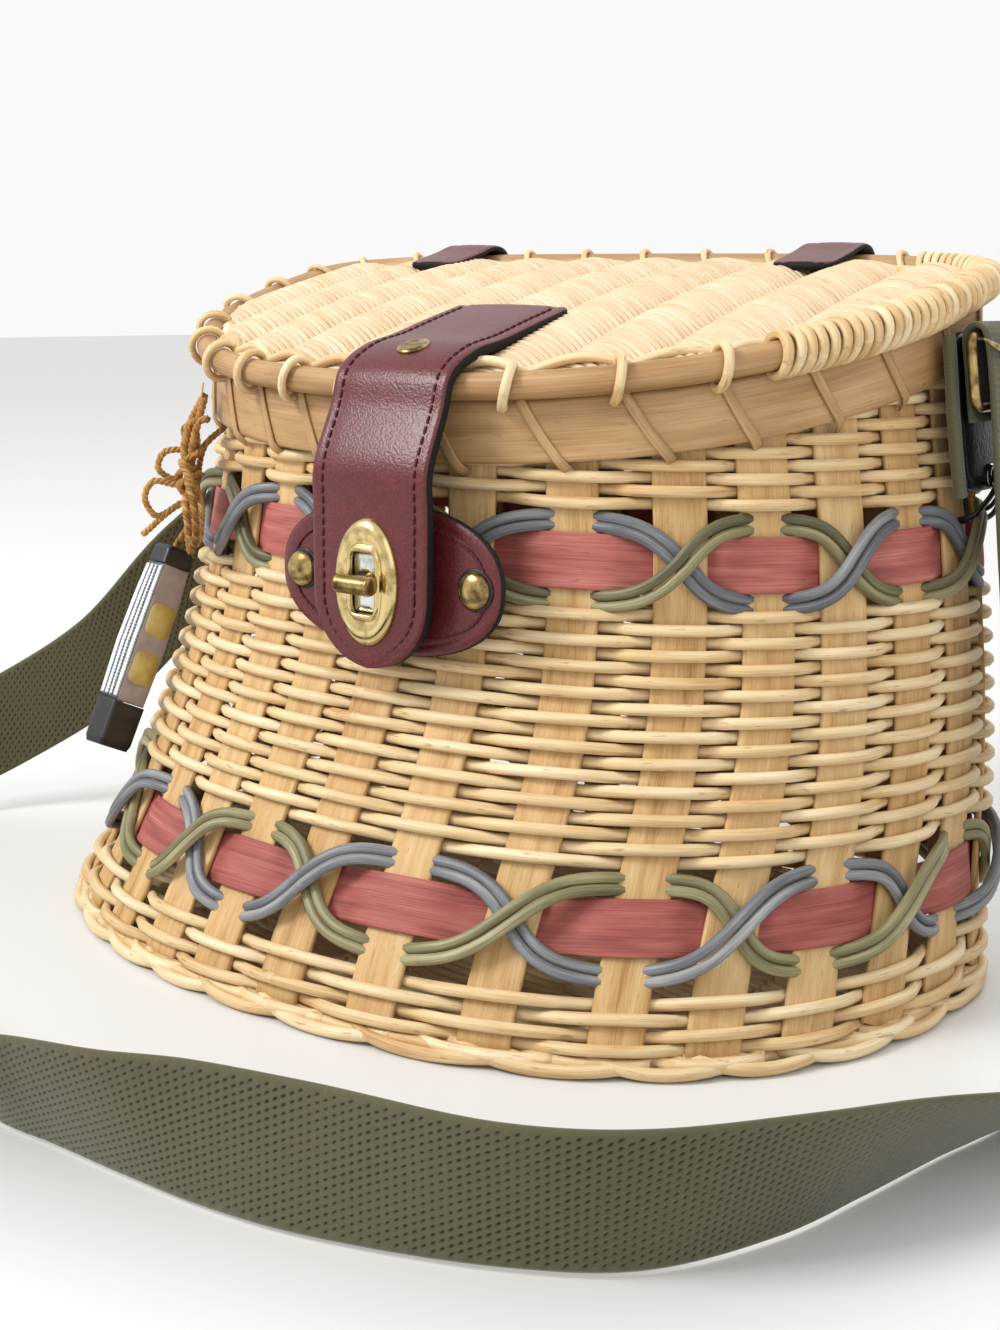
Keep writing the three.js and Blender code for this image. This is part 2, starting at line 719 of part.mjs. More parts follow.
// Hinge tabs: leather strips from the lid over its back rod and down the rim.
[['left', -1], ['right', 1]].forEach(([side, sign]) => {
  const x = (sign * hingeSpacing) / 2;
  const miss = (turn) => Math.abs(lidLine(turn, 0).x - x);
  const backTurn = turns(720).filter((turn) => turn > 0.3 && turn < 0.7)
    .reduce((best, turn) => (miss(turn) < miss(best) ? turn : best), 0.5);
  const rod = lidLine(backTurn, 0);
  const rodBack = rod.clone().sub(lidOrigin).dot(lidBack);
  const clear = lidRodRadius + looseFit + halfLeather;
  const rimOut = rimPoint(backTurn, rimBandHeight / 2, fit + rimBandThickness + looseFit + halfLeather);
  const points = [
    lidPoint(x, rodBack - hingeReach * 1.27, panelCrest + hingeLift),
    lidPoint(x, rodBack - hingeReach / 2, panelCrest + hingeLift),
    lidPoint(x, rodBack, clear),
    new THREE.Vector3(x, rod.y + clear * 0.75, rod.z + clear * 0.75),
    new THREE.Vector3(x, rod.y + clear + fit, rod.z - fit),
    new THREE.Vector3(x, Math.max(rimOut.y, rod.y) + hingeReach * 0.17, rod.z - hingeReach / 2),
    new THREE.Vector3(x, rimOut.y + fit * 4, rod.z - hingeReach * 1.09),
  ];
  const curve = new THREE.CatmullRomCurve3(points, false, 'centripetal');
  const stations = Array.from({ length: 15 }, (_, i) => ({
    at: curve.getPointAt(i / 14),
    across: acrossBag,
    half: hingeWidth / 2,
  }));
  addPiece(`hinge_tab_${side}`, skinRings(stripRings(stations, leatherThickness), false, true), palette.maroon);
});

// Side pieces stand on the wall's widest line and lean with it. The left side mirrors the right.
const sideLow = profileAt(sideTabZ - sideTabHeight / 2).halfWidth;
const sideHigh = profileAt(sideTabZ + sideTabHeight / 2).halfWidth;
const sideUp = new THREE.Vector3(sideHigh - sideLow, 0, sideTabHeight).normalize();
const sideOut = new THREE.Vector3(sideUp.z, 0, -sideUp.x);
const sideOrigin = new THREE.Vector3(profileAt(sideTabZ).halfWidth, sideTabY, sideTabZ);

function sidePoint(sign, out, along, up) {
  const p = sideOrigin.clone().addScaledVector(sideOut, out).addScaledVector(sideUp, up);
  p.y += along;
  p.x *= sign;
  return p;
}

function sideMatrix(sign, out, along, up) {
  const origin = sidePoint(sign, out, along, up);
  const outDir = sideOut.clone().setX(sideOut.x * sign);
  const upDir = sideUp.clone().setX(sideUp.x * sign);
  const alongDir = upDir.clone().cross(outDir).normalize();
  return new THREE.Matrix4().makeBasis(alongDir, upDir, outDir).setPosition(origin);
}

function roundedShape(width, height, radius) {
  const corners = [[1, -1, -90], [1, 1, 0], [-1, 1, 90], [-1, -1, 180]];
  return new THREE.Shape(corners.flatMap(([sx, sy, start]) => [0, 30, 60, 90].map((step) => {
    const a = THREE.MathUtils.degToRad(start + step);
    return new THREE.Vector2(
      sx * (width / 2 - radius) + radius * Math.cos(a),
      sy * (height / 2 - radius) + radius * Math.sin(a),
    );
  })));
}

const eyeletSpots = [
  { along: 0, up: 0.16 },
  { along: 0.03, up: -0.42 },
  { along: 0.3, up: -0.4 },
];
const prongTable = [
  { along: -0.42, up: 0.32 },
  { along: 0, up: 0.09 },
  { along: 0.63, up: -0.27 },
];
const tabTop = sideTabStandoff + leatherThickness;
[['left', -1], ['right', 1]].forEach(([side, sign]) => {
  const outline = roundedShape(sideTabWidth, sideTabHeight, sideTabCorner);
  const tab = new THREE.ExtrudeGeometry(outline, { depth: leatherThickness, bevelEnabled: false });
  addPiece(`side_tab_${side}`, tab.applyMatrix4(sideMatrix(sign, sideTabStandoff, 0, 0)), palette.black);
  eyeletSpots.forEach((spot, i) => {
    const ring = lathe([
      [eyeletHole, 0],
      [eyeletRadius, 0],
      [eyeletRadius * 0.85, eyeletHeight],
      [eyeletHole, eyeletHeight],
      [eyeletHole, 0],
    ], 9);
    ring.rotateX(Math.PI / 2);
    ring.applyMatrix4(sideMatrix(sign, tabTop + fit, spot.along * sideTabWidth, spot.up * sideTabHeight));
    addPiece(`eyelet_${side}_${i + 1}`, ring, palette.nickel);
  });
  [['front', -1], ['back', 1]].forEach(([edge, way]) => {
    const strip = new THREE.BoxGeometry(bindingWidth, sideTabHeight, bindingThickness);
    const along = way * (sideTabWidth / 2 + looseFit + bindingWidth / 2);
    strip.applyMatrix4(sideMatrix(sign, sideTabStandoff + bindingThickness / 2, along, -1));
    addPiece(`side_binding_${edge}_${side}`, strip, palette.webbing);
  });
  const halfFrame = webbingWidth / 2 + 2 * looseFit + wireRadius;
  const frame = roundedShape(halfFrame * 2, buckleHeight, buckleCorner).getPoints();
  const frameRun = frame.map((p) => sidePoint(sign, buckleStandoff, p.x, buckleRise + p.y));
  addPiece(`buckle_${side}`, skinRings(barRings(frameRun, wireRadius, 7, true), true), palette.brass);
  const prongRun = prongTable.map(({ along, up }) => (
    sidePoint(sign, buckleStandoff + prongStandoff, along * webbingWidth, buckleRise + up * buckleHeight)));
  addPiece(`buckle_prong_${side}`, skinRings(barRings(prongRun, prongRadius, 7, false), false), palette.brass);
});

// Shoulder strap, from the right buckle round the ground in front to the left buckle.
// Side and front are shares of the basket's half sizes, rise is a share of its height, and the
// last three columns are the direction of the strap's upper or outer edge.
const strapTable = [
  { side: 1.006, front: 0.66, rise: 0.69, edgeX: 0.05, edgeY: 1, edgeZ: 0 },
  { side: 1.08, front: 0.62, rise: 0.54, edgeX: 0.35, edgeY: 0.93, edgeZ: 0.1 },
  { side: 1.2, front: 0.5, rise: 0.35, edgeX: 0.7, edgeY: 0.7, edgeZ: 0.1 },
  { side: 1.32, front: 0.27, rise: 0.17, edgeX: 0.93, edgeY: 0.35, edgeZ: 0.12 },
  { side: 1.385, front: -0.02, rise: 0.075, edgeX: 0.93, edgeY: 0, edgeZ: 0.36 },
  { side: 1.376, front: -0.42, rise: 0.057, edgeX: 0.78, edgeY: -0.2, edgeZ: 0.55 },
  { side: 1.324, front: -0.66, rise: 0.07, edgeX: 0.69, edgeY: -0.14, edgeZ: 0.71 },
  { side: 1.262, front: -0.94, rise: 0.084, edgeX: 0.5, edgeY: -0.1, edgeZ: 0.86 },
  { side: 1.197, front: -1.2, rise: 0.092, edgeX: 0.31, edgeY: -0.1, edgeZ: 0.945 },
  { side: 1.064, front: -1.51, rise: 0.096, edgeX: 0.12, edgeY: -0.12, edgeZ: 0.985 },
  { side: 0.896, front: -1.675, rise: 0.096, edgeX: 0.07, edgeY: -0.12, edgeZ: 0.99 },
  { side: 0.608, front: -1.804, rise: 0.097, edgeX: 0, edgeY: 0.03, edgeZ: 1 },
  { side: 0.434, front: -1.86, rise: 0.097, edgeX: 0, edgeY: -0.05, edgeZ: 1 },
  { side: 0.295, front: -1.9, rise: 0.094, edgeX: 0, edgeY: -0.24, edgeZ: 0.97 },
  { side: 0.12, front: -1.925, rise: 0.09, edgeX: 0, edgeY: -0.39, edgeZ: 0.92 },
  { side: -0.042, front: -1.95, rise: 0.082, edgeX: -0.05, edgeY: -0.55, edgeZ: 0.83 },
  { side: -0.37, front: -1.81, rise: 0.088, edgeX: -0.1, edgeY: -0.45, edgeZ: 0.88 },
  { side: -0.8, front: -1.65, rise: 0.09, edgeX: -0.25, edgeY: -0.35, edgeZ: 0.9 },
  { side: -1.2, front: -1.33, rise: 0.092, edgeX: -0.35, edgeY: -0.2, edgeZ: 0.91 },
  { side: -1.48, front: -0.87, rise: 0.095, edgeX: -0.4, edgeY: -0.05, edgeZ: 0.91 },
  { side: -1.57, front: -0.44, rise: 0.115, edgeX: -0.42, edgeY: -0.05, edgeZ: 0.9 },
  { side: -1.494, front: -0.13, rise: 0.175, edgeX: -0.4, edgeY: -0.15, edgeZ: 0.9 },
  { side: -1.284, front: 0.18, rise: 0.325, edgeX: -0.4, edgeY: -0.25, edgeZ: 0.88 },
  { side: -1.14, front: 0.4, rise: 0.51, edgeX: -0.4, edgeY: -0.6, edgeZ: 0.69 },
  { side: -1.06, front: 0.58, rise: 0.62, edgeX: -0.25, edgeY: -0.9, edgeZ: 0.3 },
  { side: -1.006, front: 0.66, rise: 0.7, edgeX: -0.05, edgeY: -1, edgeZ: 0 },
];

const foldRadius = wireRadius + looseFit + webbingThickness / 2;
const barUp = buckleRise + buckleHeight / 2;
const foldTable = [
  { out: -1, up: -7.74 },
  { out: -1, up: -2.58 },
  { out: -1, up: 0 },
  { out: -0.7, up: 0.7 },
  { out: 0, up: 1 },
  { out: 0.7, up: 0.7 },
  { out: 1, up: 0 },
  { out: 1.2, up: -3.87 },
];
const foldPoints = (sign) => foldTable.map(({ out, up }) => ({
  at: sidePoint(sign, buckleStandoff + out * foldRadius, 0, barUp + up * foldRadius),
  across: new THREE.Vector3(0, sign, 0),
}));
const strapMiddle = strapTable.map((row) => ({
  at: new THREE.Vector3(row.side * basketHalfWidth, row.front * basketHalfDepth, row.rise * basketHeight),
  across: new THREE.Vector3(row.edgeX, row.edgeY, row.edgeZ).normalize(),
}));
const strapPoints = foldPoints(1).concat(strapMiddle, foldPoints(-1).reverse());
const strapCurve = new THREE.CatmullRomCurve3(strapPoints.map((p) => p.at), false, 'centripetal');
const strapStations = strapPoints.flatMap((point, i) => {
  if (i === strapPoints.length - 1) return [{ ...point, half: webbingWidth / 2 }];
  const next = strapPoints[i + 1];
  const gap = point.at.distanceTo(next.at);
  const steps = gap > webbingWidth / 2 ? 3 : 1;
  return Array.from({ length: steps }, (_, n) => {
    const mix = n / steps;
    const across = point.across.clone().lerp(next.across, mix).normalize();
    const at = strapCurve.getPoint((i + mix) / (strapPoints.length - 1));
    at.z = Math.max(at.z, (Math.abs(across.z) * webbingWidth) / 2 + webbingThickness / 2 + fit);
    return { at, across, half: webbingWidth / 2 };
  });
});
addPiece('shoulder_strap', skinRings(stripRings(strapStations, webbingThickness), false, true), palette.webbing);

// Twine and pendant hang on the left front. Points are given from a spot on the wall:
// out from it, along it towards the front, and up, as shares of the knot's span.
const knotTurn = 0.877;
const knotZ = upperBandHeight + 10.8;
const knotSpan = 20;
const knotAt = facePoint(knotTurn, knotZ);
const knotOut = facePoint(knotTurn, knotZ, 1).sub(knotAt).normalize();
const knotAlong = new THREE.Vector3(0, 0, 1).cross(knotOut).normalize();

function knotPoint(out, along, up) {
  const p = knotAt.clone()
    .addScaledVector(knotOut, out * knotSpan)
    .addScaledVector(knotAlong, along * knotSpan);
  p.z += up * knotSpan;
  return p;
}

const bowTable = [
  { out: 0.44, along: 0.05, up: 1 },
  { out: 0.46, along: 0.08, up: 0.5 },
  { out: 0.75, along: 0.1, up: 0.6 },
  { out: 1.03, along: 0.1, up: 0.55 },
  { out: 1.13, along: 0.1, up: 0.28 },
  { out: 0.86, along: 0.1, up: 0.08 },
  { out: 0.53, along: 0.06, up: 0.04 },
  { out: 0.63, along: 0.3, up: 0 },
  { out: 0.9, along: 0.32, up: 0.02 },
  { out: 1.26, along: 0.3, up: 0.08 },
  { out: 1.41, along: 0.28, up: -0.2 },
  { out: 1.22, along: 0.28, up: -0.52 },
  { out: 0.86, along: 0.28, up: -0.36 },
  { out: 0.59, along: 0.3, up: -0.2 },
  { out: 0.57, along: 0.62, up: -0.08 },
  { out: 0.57, along: 0.98, up: -0.36 },
  { out: 0.59, along: 0.86, up: -0.85 },
  { out: 0.59, along: 0.4, up: -1 },
  { out: 0.59, along: 0.06, up: -0.68 },
  { out: 0.68, along: -0.08, up: -0.36 },
  { out: 0.92, along: -0.12, up: -0.5 },
  { out: 1.39, along: -0.14, up: -0.9 },
];

function twine(points, steps) {
  const curve = new THREE.CatmullRomCurve3(points, false, 'centripetal');
  const run = Array.from({ length: steps + 1 }, (_, i) => curve.getPointAt(i / steps));
  return skinRings(barRings(run, twineRadius, 8, false), false);
}

const bowRun = bowTable.map(({ out, along, up }) => knotPoint(out, along, up));
addPiece('twine_bow', twine(bowRun, 40), palette.jute);

const pendantTurn = 0.853;
const pendantTopStandoff = 10.5;
const pendantFootStandoff = 15.6;
const pendantTop = facePoint(pendantTurn, upperBandHeight - laceSwing - 3, pendantTopStandoff);
const pendantFoot = facePoint(pendantTurn + 0.007, lowerBandHeight + laceSwing + 8.4, pendantFootStandoff);
const pendantDown = pendantFoot.clone().sub(pendantTop).normalize();
const hangerPoints = [
  rimPoint(knotTurn, rimBandHeight + rimBandThickness, twineRadius + fit),
  knotPoint(0.29, 0.02, 0.65),
  knotPoint(0.42, -0.03, 0.1),
  knotPoint(0.44, -0.3, -0.6),
  pendantTop.clone().addScaledVector(pendantDown, -twineRadius),
];
addPiece('twine_hanger', twine(hangerPoints, 12), palette.jute);

const sightAcross = new THREE.Vector3(0.995, -0.1, 0);
const pendantSide = sightAcross.clone().addScaledVector(pendantDown, -sightAcross.dot(pendantDown)).normalize();
const pendantFront = pendantDown.clone().cross(pendantSide);

function pendantSection(down, side, front) {
  return [[-1, -1], [1, -1], [1, 1], [-1, 1]].map(([a, b]) => pendantTop.clone()
    .addScaledVector(pendantDown, down * pendantLength)
    .addScaledVector(pendantSide, (a * side) / 2)
    .addScaledVector(pendantFront, (b * front) / 2));
}

function pendantBlock(rows) {
  const rings = rows.map(({ down, size }) => pendantSection(down, pendantWidth * size, pendantDepth * size));
  return skinRings(rings, false);
}

addPiece('pendant_cap_top', pendantBlock([
  { down: 0, size: 0.7 },
  { down: 0.02, size: 0.86 },
  { down: 0.09, size: 0.88 },
]), palette.black);
addPiece('pendant_body', pendantBlock([
  { down: 0.094, size: 0.86 },
  { down: 0.25, size: 0.94 },
  { down: 0.5, size: 1 },
  { down: 0.776, size: 0.92 },
]), palette.nickel);
addPiece('pendant_cap_foot', pendantBlock([
  { down: 0.78, size: 0.98 },
  { down: 0.97, size: 0.96 },
  { down: 1, size: 0.86 },
]), palette.black);

export default group;
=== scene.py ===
import math

import bpy
import numpy as np
from mathutils import Matrix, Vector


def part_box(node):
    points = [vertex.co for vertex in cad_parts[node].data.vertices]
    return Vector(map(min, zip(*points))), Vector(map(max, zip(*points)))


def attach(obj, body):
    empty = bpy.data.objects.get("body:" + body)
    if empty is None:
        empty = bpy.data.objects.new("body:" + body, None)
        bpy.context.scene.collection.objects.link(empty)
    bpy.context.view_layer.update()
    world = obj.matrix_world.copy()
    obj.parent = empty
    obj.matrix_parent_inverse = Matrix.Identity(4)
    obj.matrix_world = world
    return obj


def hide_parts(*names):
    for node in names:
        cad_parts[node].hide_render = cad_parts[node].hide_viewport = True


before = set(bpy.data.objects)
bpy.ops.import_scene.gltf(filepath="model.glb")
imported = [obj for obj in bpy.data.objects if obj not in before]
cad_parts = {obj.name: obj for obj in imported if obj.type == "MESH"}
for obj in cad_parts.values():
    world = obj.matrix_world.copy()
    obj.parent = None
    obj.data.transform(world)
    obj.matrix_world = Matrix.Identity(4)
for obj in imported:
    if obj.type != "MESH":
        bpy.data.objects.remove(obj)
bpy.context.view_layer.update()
mm = 0.001
print("frame loaded:", len(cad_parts), "nodes")

# Camera, found by fitting the rims, bands and stakes of the photograph
view = {
    "azimuth": 36.1, "pitch": 11.9, "roll": 0.7, "position": (356.3, -474.4, 216.8),
    "focalPixels": 1766.4, "imageHeight": 1330, "sensor": 36,
}


def poseMatrix(x, y, z, place):  # three axes and an origin as the columns of a world matrix
    return Matrix([[x[i], y[i], z[i], place[i]] for i in range(3)] + [[0, 0, 0, 1]])


def placeCamera():  # turned by the azimuth, tipped down by the pitch, then rolled about its own view
    azimuth, pitch, roll = (math.radians(view[key]) for key in ("azimuth", "pitch", "roll"))
    right = np.array([math.cos(azimuth), math.sin(azimuth), 0.0])
    ahead = np.array([-math.sin(azimuth) * math.cos(pitch), math.cos(azimuth) * math.cos(pitch), -math.sin(pitch)])
    up = np.cross(right, ahead)
    turnedRight = right * math.cos(roll) + up * math.sin(roll)
    turnedUp = up * math.cos(roll) - right * math.sin(roll)
    data = bpy.data.cameras.new("camera")
    data.sensor_width = view["sensor"]
    data.lens = view["focalPixels"] * view["sensor"] / view["imageHeight"]
    data.clip_start = 0.02
    camera = bpy.data.objects.new("camera", data)
    bpy.context.scene.collection.objects.link(camera)
    camera.matrix_world = poseMatrix(turnedRight, turnedUp, -ahead, np.array(view["position"]) * mm)
    bpy.context.scene.camera = camera


placeCamera()


# Materials
def linear(hexColour):  # sRGB hex to linear light
    channels = [int(hexColour[i:i + 2], 16) / 255 for i in (1, 3, 5)]
    return tuple(c / 12.92 if c <= 0.04045 else ((c + 0.055) / 1.055) ** 2.4 for c in channels) + (1.0,)


# A node with its input values, its links and its settings
def addNode(tree, kind, values=None, links=None, **settings):
    node = tree.nodes.new(kind)
    for name, value in settings.items():
        setattr(node, name, value)
    for name, value in (values or {}).items():
        node.inputs[name].default_value = value
    for name, source in (links or {}).items():
        tree.links.new(source, node.inputs[name])
    return node


# A material and its shader, with the shader's inputs by name, _ for a space
def newMaterial(name, **surface):
    material = bpy.data.materials.new(name)
    material.use_nodes = True
    shader = material.node_tree.nodes["Principled BSDF"]
    for key, value in surface.items():
        shader.inputs[key.replace("_", " ")].default_value = value
    return material, material.node_tree, shader


def setStops(ramp, stops):  # each stop its place and its colour
    elements = ramp.color_ramp.elements
    while len(elements) > 1:
        elements.remove(elements[0])
    elements[0].position, elements[0].color = stops[0][0], linear(stops[0][1])
    for position, colour in stops[1:]:
        elements.new(position).color = linear(colour)


def plug(tree, shader, **sources):  # links outputs to the shader's sockets
    for key, source in sources.items():
        tree.links.new(source, shader.inputs[key.replace("_", " ")])


# Split cane and reed: long fibres side by side, a few brown scars, and each strand its own tone,
# colour at fibres*(1 - patch) + patches*patch + tone*toneAmount, all in the strand's own coordinates in metres.
def fibreMaterial(name, stops, fleck, roughness, fibre, streak, bump, fleckAmount=0.5, toneAmount=0.35, patch=0.55):
    material, tree, shader = newMaterial(name, Roughness=roughness, IOR=1.5)
    grain = addNode(tree, "ShaderNodeAttribute", attribute_name="grain")
    tone = addNode(tree, "ShaderNodeAttribute", attribute_name="tone")
    sizes = ((streak, fibre, 3.0, 0.6), (0.03, 0.004, 2.0, 0.5), (0.006, 0.0012, 2.0, 0.5))
    layers = []
    for along, across, detail, rough in sizes:
        scale = {"Scale": (1 / along, 1 / across, 1 / across)}
        place = addNode(tree, "ShaderNodeMapping", scale, {"Vector": grain.outputs["Vector"]})
        values = {"Scale": 1.0, "Detail": detail, "Roughness": rough}
        layers.append(addNode(tree, "ShaderNodeTexNoise", values, {"Vector": place.outputs[0]}).outputs["Fac"])
    fibres, patches, scars = layers
    mixed = addNode(tree, "ShaderNodeMath", {1: 1 - patch}, {0: fibres}, operation="MULTIPLY")
    for share, layer in ((patch, patches), (toneAmount, tone.outputs["Fac"])):
        links = {0: layer, 2: mixed.outputs[0]}
        mixed = addNode(tree, "ShaderNodeMath", {1: share}, links, operation="MULTIPLY_ADD")
    ramp = addNode(tree, "ShaderNodeValToRGB", None, {"Fac": mixed.outputs[0]})
    setStops(ramp, stops)
    span = {"From Min": 0.64, "From Max": 0.74, "To Max": fleckAmount}
    scarred = addNode(tree, "ShaderNodeMapRange", span, {"Value": scars})
    links = {0: scarred.outputs[0], 6: ramp.outputs["Color"]}
    colour = addNode(tree, "ShaderNodeMix", {7: linear(fleck)}, links, data_type="RGBA")
    relief = addNode(tree, "ShaderNodeBump", {"Strength": bump, "Distance": 0.0004}, {"Height": fibres})
    plug(tree, shader, Base_Color=colour.outputs[2], Normal=relief.outputs[0])
    return material


# Peeled round reed: satin cream wood with straw patches and brown scars.
roundReed = fibreMaterial(
    "peeled_round_reed", [(0.28, "#b98c55"), (0.42, "#d3b27f"), (0.58, "#e3cb9f"), (0.75, "#f0e0bf")],
    "#8a5a2c", 0.5, 0.0005, 0.02, 0.25, 0.5, 0.14,
)
# Finer, evener round reed of the lid: cream, with only faint changes from strand to strand.
lidReed = fibreMaterial(
    "peeled_lid_reed", [(0.28, "#be9a6b"), (0.42, "#d1b58c"), (0.58, "#dec9a8"), (0.75, "#e9dac2")],
    "#9a6a3a", 0.5, 0.0005, 0.02, 0.25, 0.35, 0.1, 0.3,
)
# Flat oval reed, split from the core: tan, dull, with open fibres along it.
flatReed = fibreMaterial(
    "split_flat_reed", [(0.28, "#a67a44"), (0.42, "#c29b62"), (0.58, "#d3b07b"), (0.75, "#e4c99a")],
    "#7d4f22", 0.62, 0.0004, 0.012, 0.6, 0.35, 0.12,
)
# Rim and lid rod: thicker wood, scraped, honey coloured, with fine grain.
rimWood = fibreMaterial(
    "scraped_rim_wood", [(0.28, "#926b40"), (0.45, "#aa8456"), (0.62, "#bd996a"), (0.85, "#cdae82")],
    "#7a5228", 0.48, 0.0006, 0.04, 0.25, 0.4, 0.15,
)
# Dyed flat reed: the dye sits unevenly, so the fibres show pale and dark rose.
roseReed = fibreMaterial(
    "rose_dyed_flat_reed", [(0.25, "#70302a"), (0.42, "#974941"), (0.58, "#b16258"), (0.8, "#cc8f80")],
    "#7c3533", 0.6, 0.0004, 0.03, 0.5, 0.4, 0.15,
)
# Dyed round cane: the skin takes the dye thinly, so its ridges stay pale and slightly glossy.
slateCane = fibreMaterial(
    "slate_dyed_cane", [(0.25, "#434448"), (0.42, "#606165"), (0.58, "#838487"), (0.78, "#b3b1ad")],
    "#3f4047", 0.45, 0.0005, 0.02, 0.3, 0.3, 0.2,
)
oliveCane = fibreMaterial(
    "olive_dyed_cane", [(0.25, "#464127"), (0.42, "#666040"), (0.58, "#89825c"), (0.78, "#b8af89")],
    "#453f28", 0.45, 0.0005, 0.02, 0.3, 0.3, 0.2,
)
print("reed materials made")


# Meshes: points and faces, and for strands also their grain coordinates and tone
def unit(v):
    return v / np.maximum(np.linalg.norm(v, axis=-1, keepdims=True), 1e-12)


def gridFaces(rows, columns, closeRows, closeColumns):  # four corners a cell, wound so that rows x columns points out
    cellRows, cellColumns = (rows if closeRows else rows - 1), (columns if closeColumns else columns - 1)
    i, j = np.meshgrid(np.arange(cellRows), np.arange(cellColumns), indexing="ij")
    here, below = i * columns, (i + 1) % rows * columns
    nextJ = (j + 1) % columns
    return np.stack([here + j, below + j, below + nextJ, here + nextJ], -1).reshape(-1, 4)


def capFaces(rows, columns):  # the first and the last ring of a grid as one face each
    first = list(range(columns))
    return [first, [(rows - 1) * columns + j for j in first][::-1]]


# One object from several meshes: their points end to end, each one's faces counted on from the last
def addPiece(name, parts, materials, replaced=(), body="bag", materialOf=None):
    shift, faces = 0, []
    for part in parts:
        faces += [[corner + shift for corner in face] for face in part[1]]
        shift += part[0].size // 3
    points = np.concatenate([part[0].reshape(-1, 3) for part in parts])
    mesh = bpy.data.meshes.new(name)
    mesh.from_pydata((points * mm).tolist(), [], faces)
    for i, (kind, key, label) in enumerate((("FLOAT_VECTOR", "vector", "grain"), ("FLOAT", "value", "tone")), 2):
        if len(parts[0]) > i and parts[0][i] is not None:
            values = np.concatenate([part[i].ravel() for part in parts]).astype(np.float32)
            mesh.attributes.new(label, kind, "POINT").data.foreach_set(key, values)
    for material in materials:
        mesh.materials.append(material)
    mesh.polygons.foreach_set("use_smooth", np.ones(len(mesh.polygons), bool))
    if materialOf is not None:
        mesh.polygons.foreach_set("material_index", np.asarray(materialOf, np.int32))
    mesh.update()
    piece = bpy.data.objects.new(name, mesh)
    bpy.context.scene.collection.objects.link(piece)
    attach(piece, body)
    if replaced:
        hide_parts(*replaced)
    return piece


# Strands: an oval section carried along each centre line,
# point = centre + across*halfWidth*cos(a) + up*halfHeight*sin(a), the powers of cos and sin below 1 for flat strips.
def strands(centres, ups, halfWidth, halfHeight, sides=8, closed=False, square=1.0, seed=0):
    centres = np.asarray(centres, float)
    centres = centres[None] if centres.ndim == 2 else centres
    count, steps = centres.shape[:2]
    if closed:
        tangent = np.roll(centres, -1, 1) - np.roll(centres, 1, 1)
        stepLength = np.linalg.norm(np.roll(centres, -1, 1) - centres, axis=-1)
    else:
        tangent = np.gradient(centres, axis=1)
        stepLength = np.linalg.norm(np.diff(centres, axis=1, append=centres[:, -1:]), axis=-1)
    tangent = unit(tangent)
    across = unit(np.cross(tangent, np.broadcast_to(ups, centres.shape)))
    up = np.cross(across, tangent)
    angle = (np.arange(sides) + 0.5) / sides * 2 * np.pi
    wide = np.sign(np.cos(angle)) * np.abs(np.cos(angle)) ** square
    high = np.sign(np.sin(angle)) * np.abs(np.sin(angle)) ** square
    halfWidth, halfHeight = (np.broadcast_to(half, (count, steps))[:, :, None] for half in (halfWidth, halfHeight))
    points = (centres[:, :, None] + across[:, :, None] * (halfWidth * wide)[..., None]
              + up[:, :, None] * (halfHeight * high)[..., None])
    rng = np.random.default_rng(seed)
    start = rng.uniform(0, 40, (count, 1, 1))  # so that no two strands show the same stretch of grain
    along = np.concatenate([np.zeros((count, 1)), np.cumsum(stepLength, 1)[:, :-1]], 1)[:, :, None] + start * 100
    grain = np.stack(np.broadcast_arrays(along, halfWidth * wide + start, halfHeight * high + start), -1) * mm
    tone = np.broadcast_to(rng.uniform(-0.5, 0.5, (count, 1, 1)), (count, steps, sides))
    offsets = np.arange(count) * steps * sides
    faces = (gridFaces(steps, sides, closed, True)[None] + offsets[:, None, None]).reshape(-1, 4).tolist()
    if not closed:
        for offset in offsets.tolist():
            faces += [[corner + offset for corner in cap] for cap in capFaces(steps, sides)]
    return points, faces, grain, tone


# The basket's form
basket = {
    "halfWidth": 162, "halfDepth": 109, "height": 200, "belly": 22,
    "frontRoundness": 2.26, "backRoundness": 2.8,
    "rimFront": 185.6, "rimTilt": math.radians(13.6),
    "stakes": 28, "stakePhase": 0.45,
    "drift": [0, -0.1, -0.24, -0.32, -0.26, -0.06, 0.12, 0.06, 0],  # stakes -3 to 5, in shares of the pitch
    # height, half width, front, middle, back, in shares of the sizes above
    "profile": [
        (0, 1.034, 1, 0.265, 0.99), (0.04, 1.03, 0.99, 0.3, 0.99), (0.11, 1.005, 0.92, 0.42, 0.98),
        (0.2, 0.987, 0.815, 0.5, 0.975), (0.3, 0.973, 0.715, 0.57, 0.97), (0.4, 0.957, 0.62, 0.62, 0.965),
        (0.5, 0.94, 0.545, 0.655, 0.96), (0.61, 0.92, 0.495, 0.675, 0.955), (0.73, 0.896, 0.468, 0.69, 0.945),
        (0.86, 0.864, 0.457, 0.7, 0.935), (1, 0.84, 0.455, 0.715, 0.925), (1.25, 0.832, 0.46, 0.735, 0.915),
    ],
}
stakeCount = basket["stakes"]
depth = basket["halfDepth"]
profile = np.array(basket["profile"]) * np.array([basket["height"], basket["halfWidth"], -depth, depth, depth])
levels = np.arange(-12.0, 250.0)
soft = np.hanning(15) / np.hanning(15).sum()  # rounds the corners of the profile off
columns = []
for measure in profile.T[1:]:
    padded = np.pad(np.interp(levels, profile[:, 0], measure), 7, mode="edge")
    columns.append(np.convolve(padded, soft, "valid"))


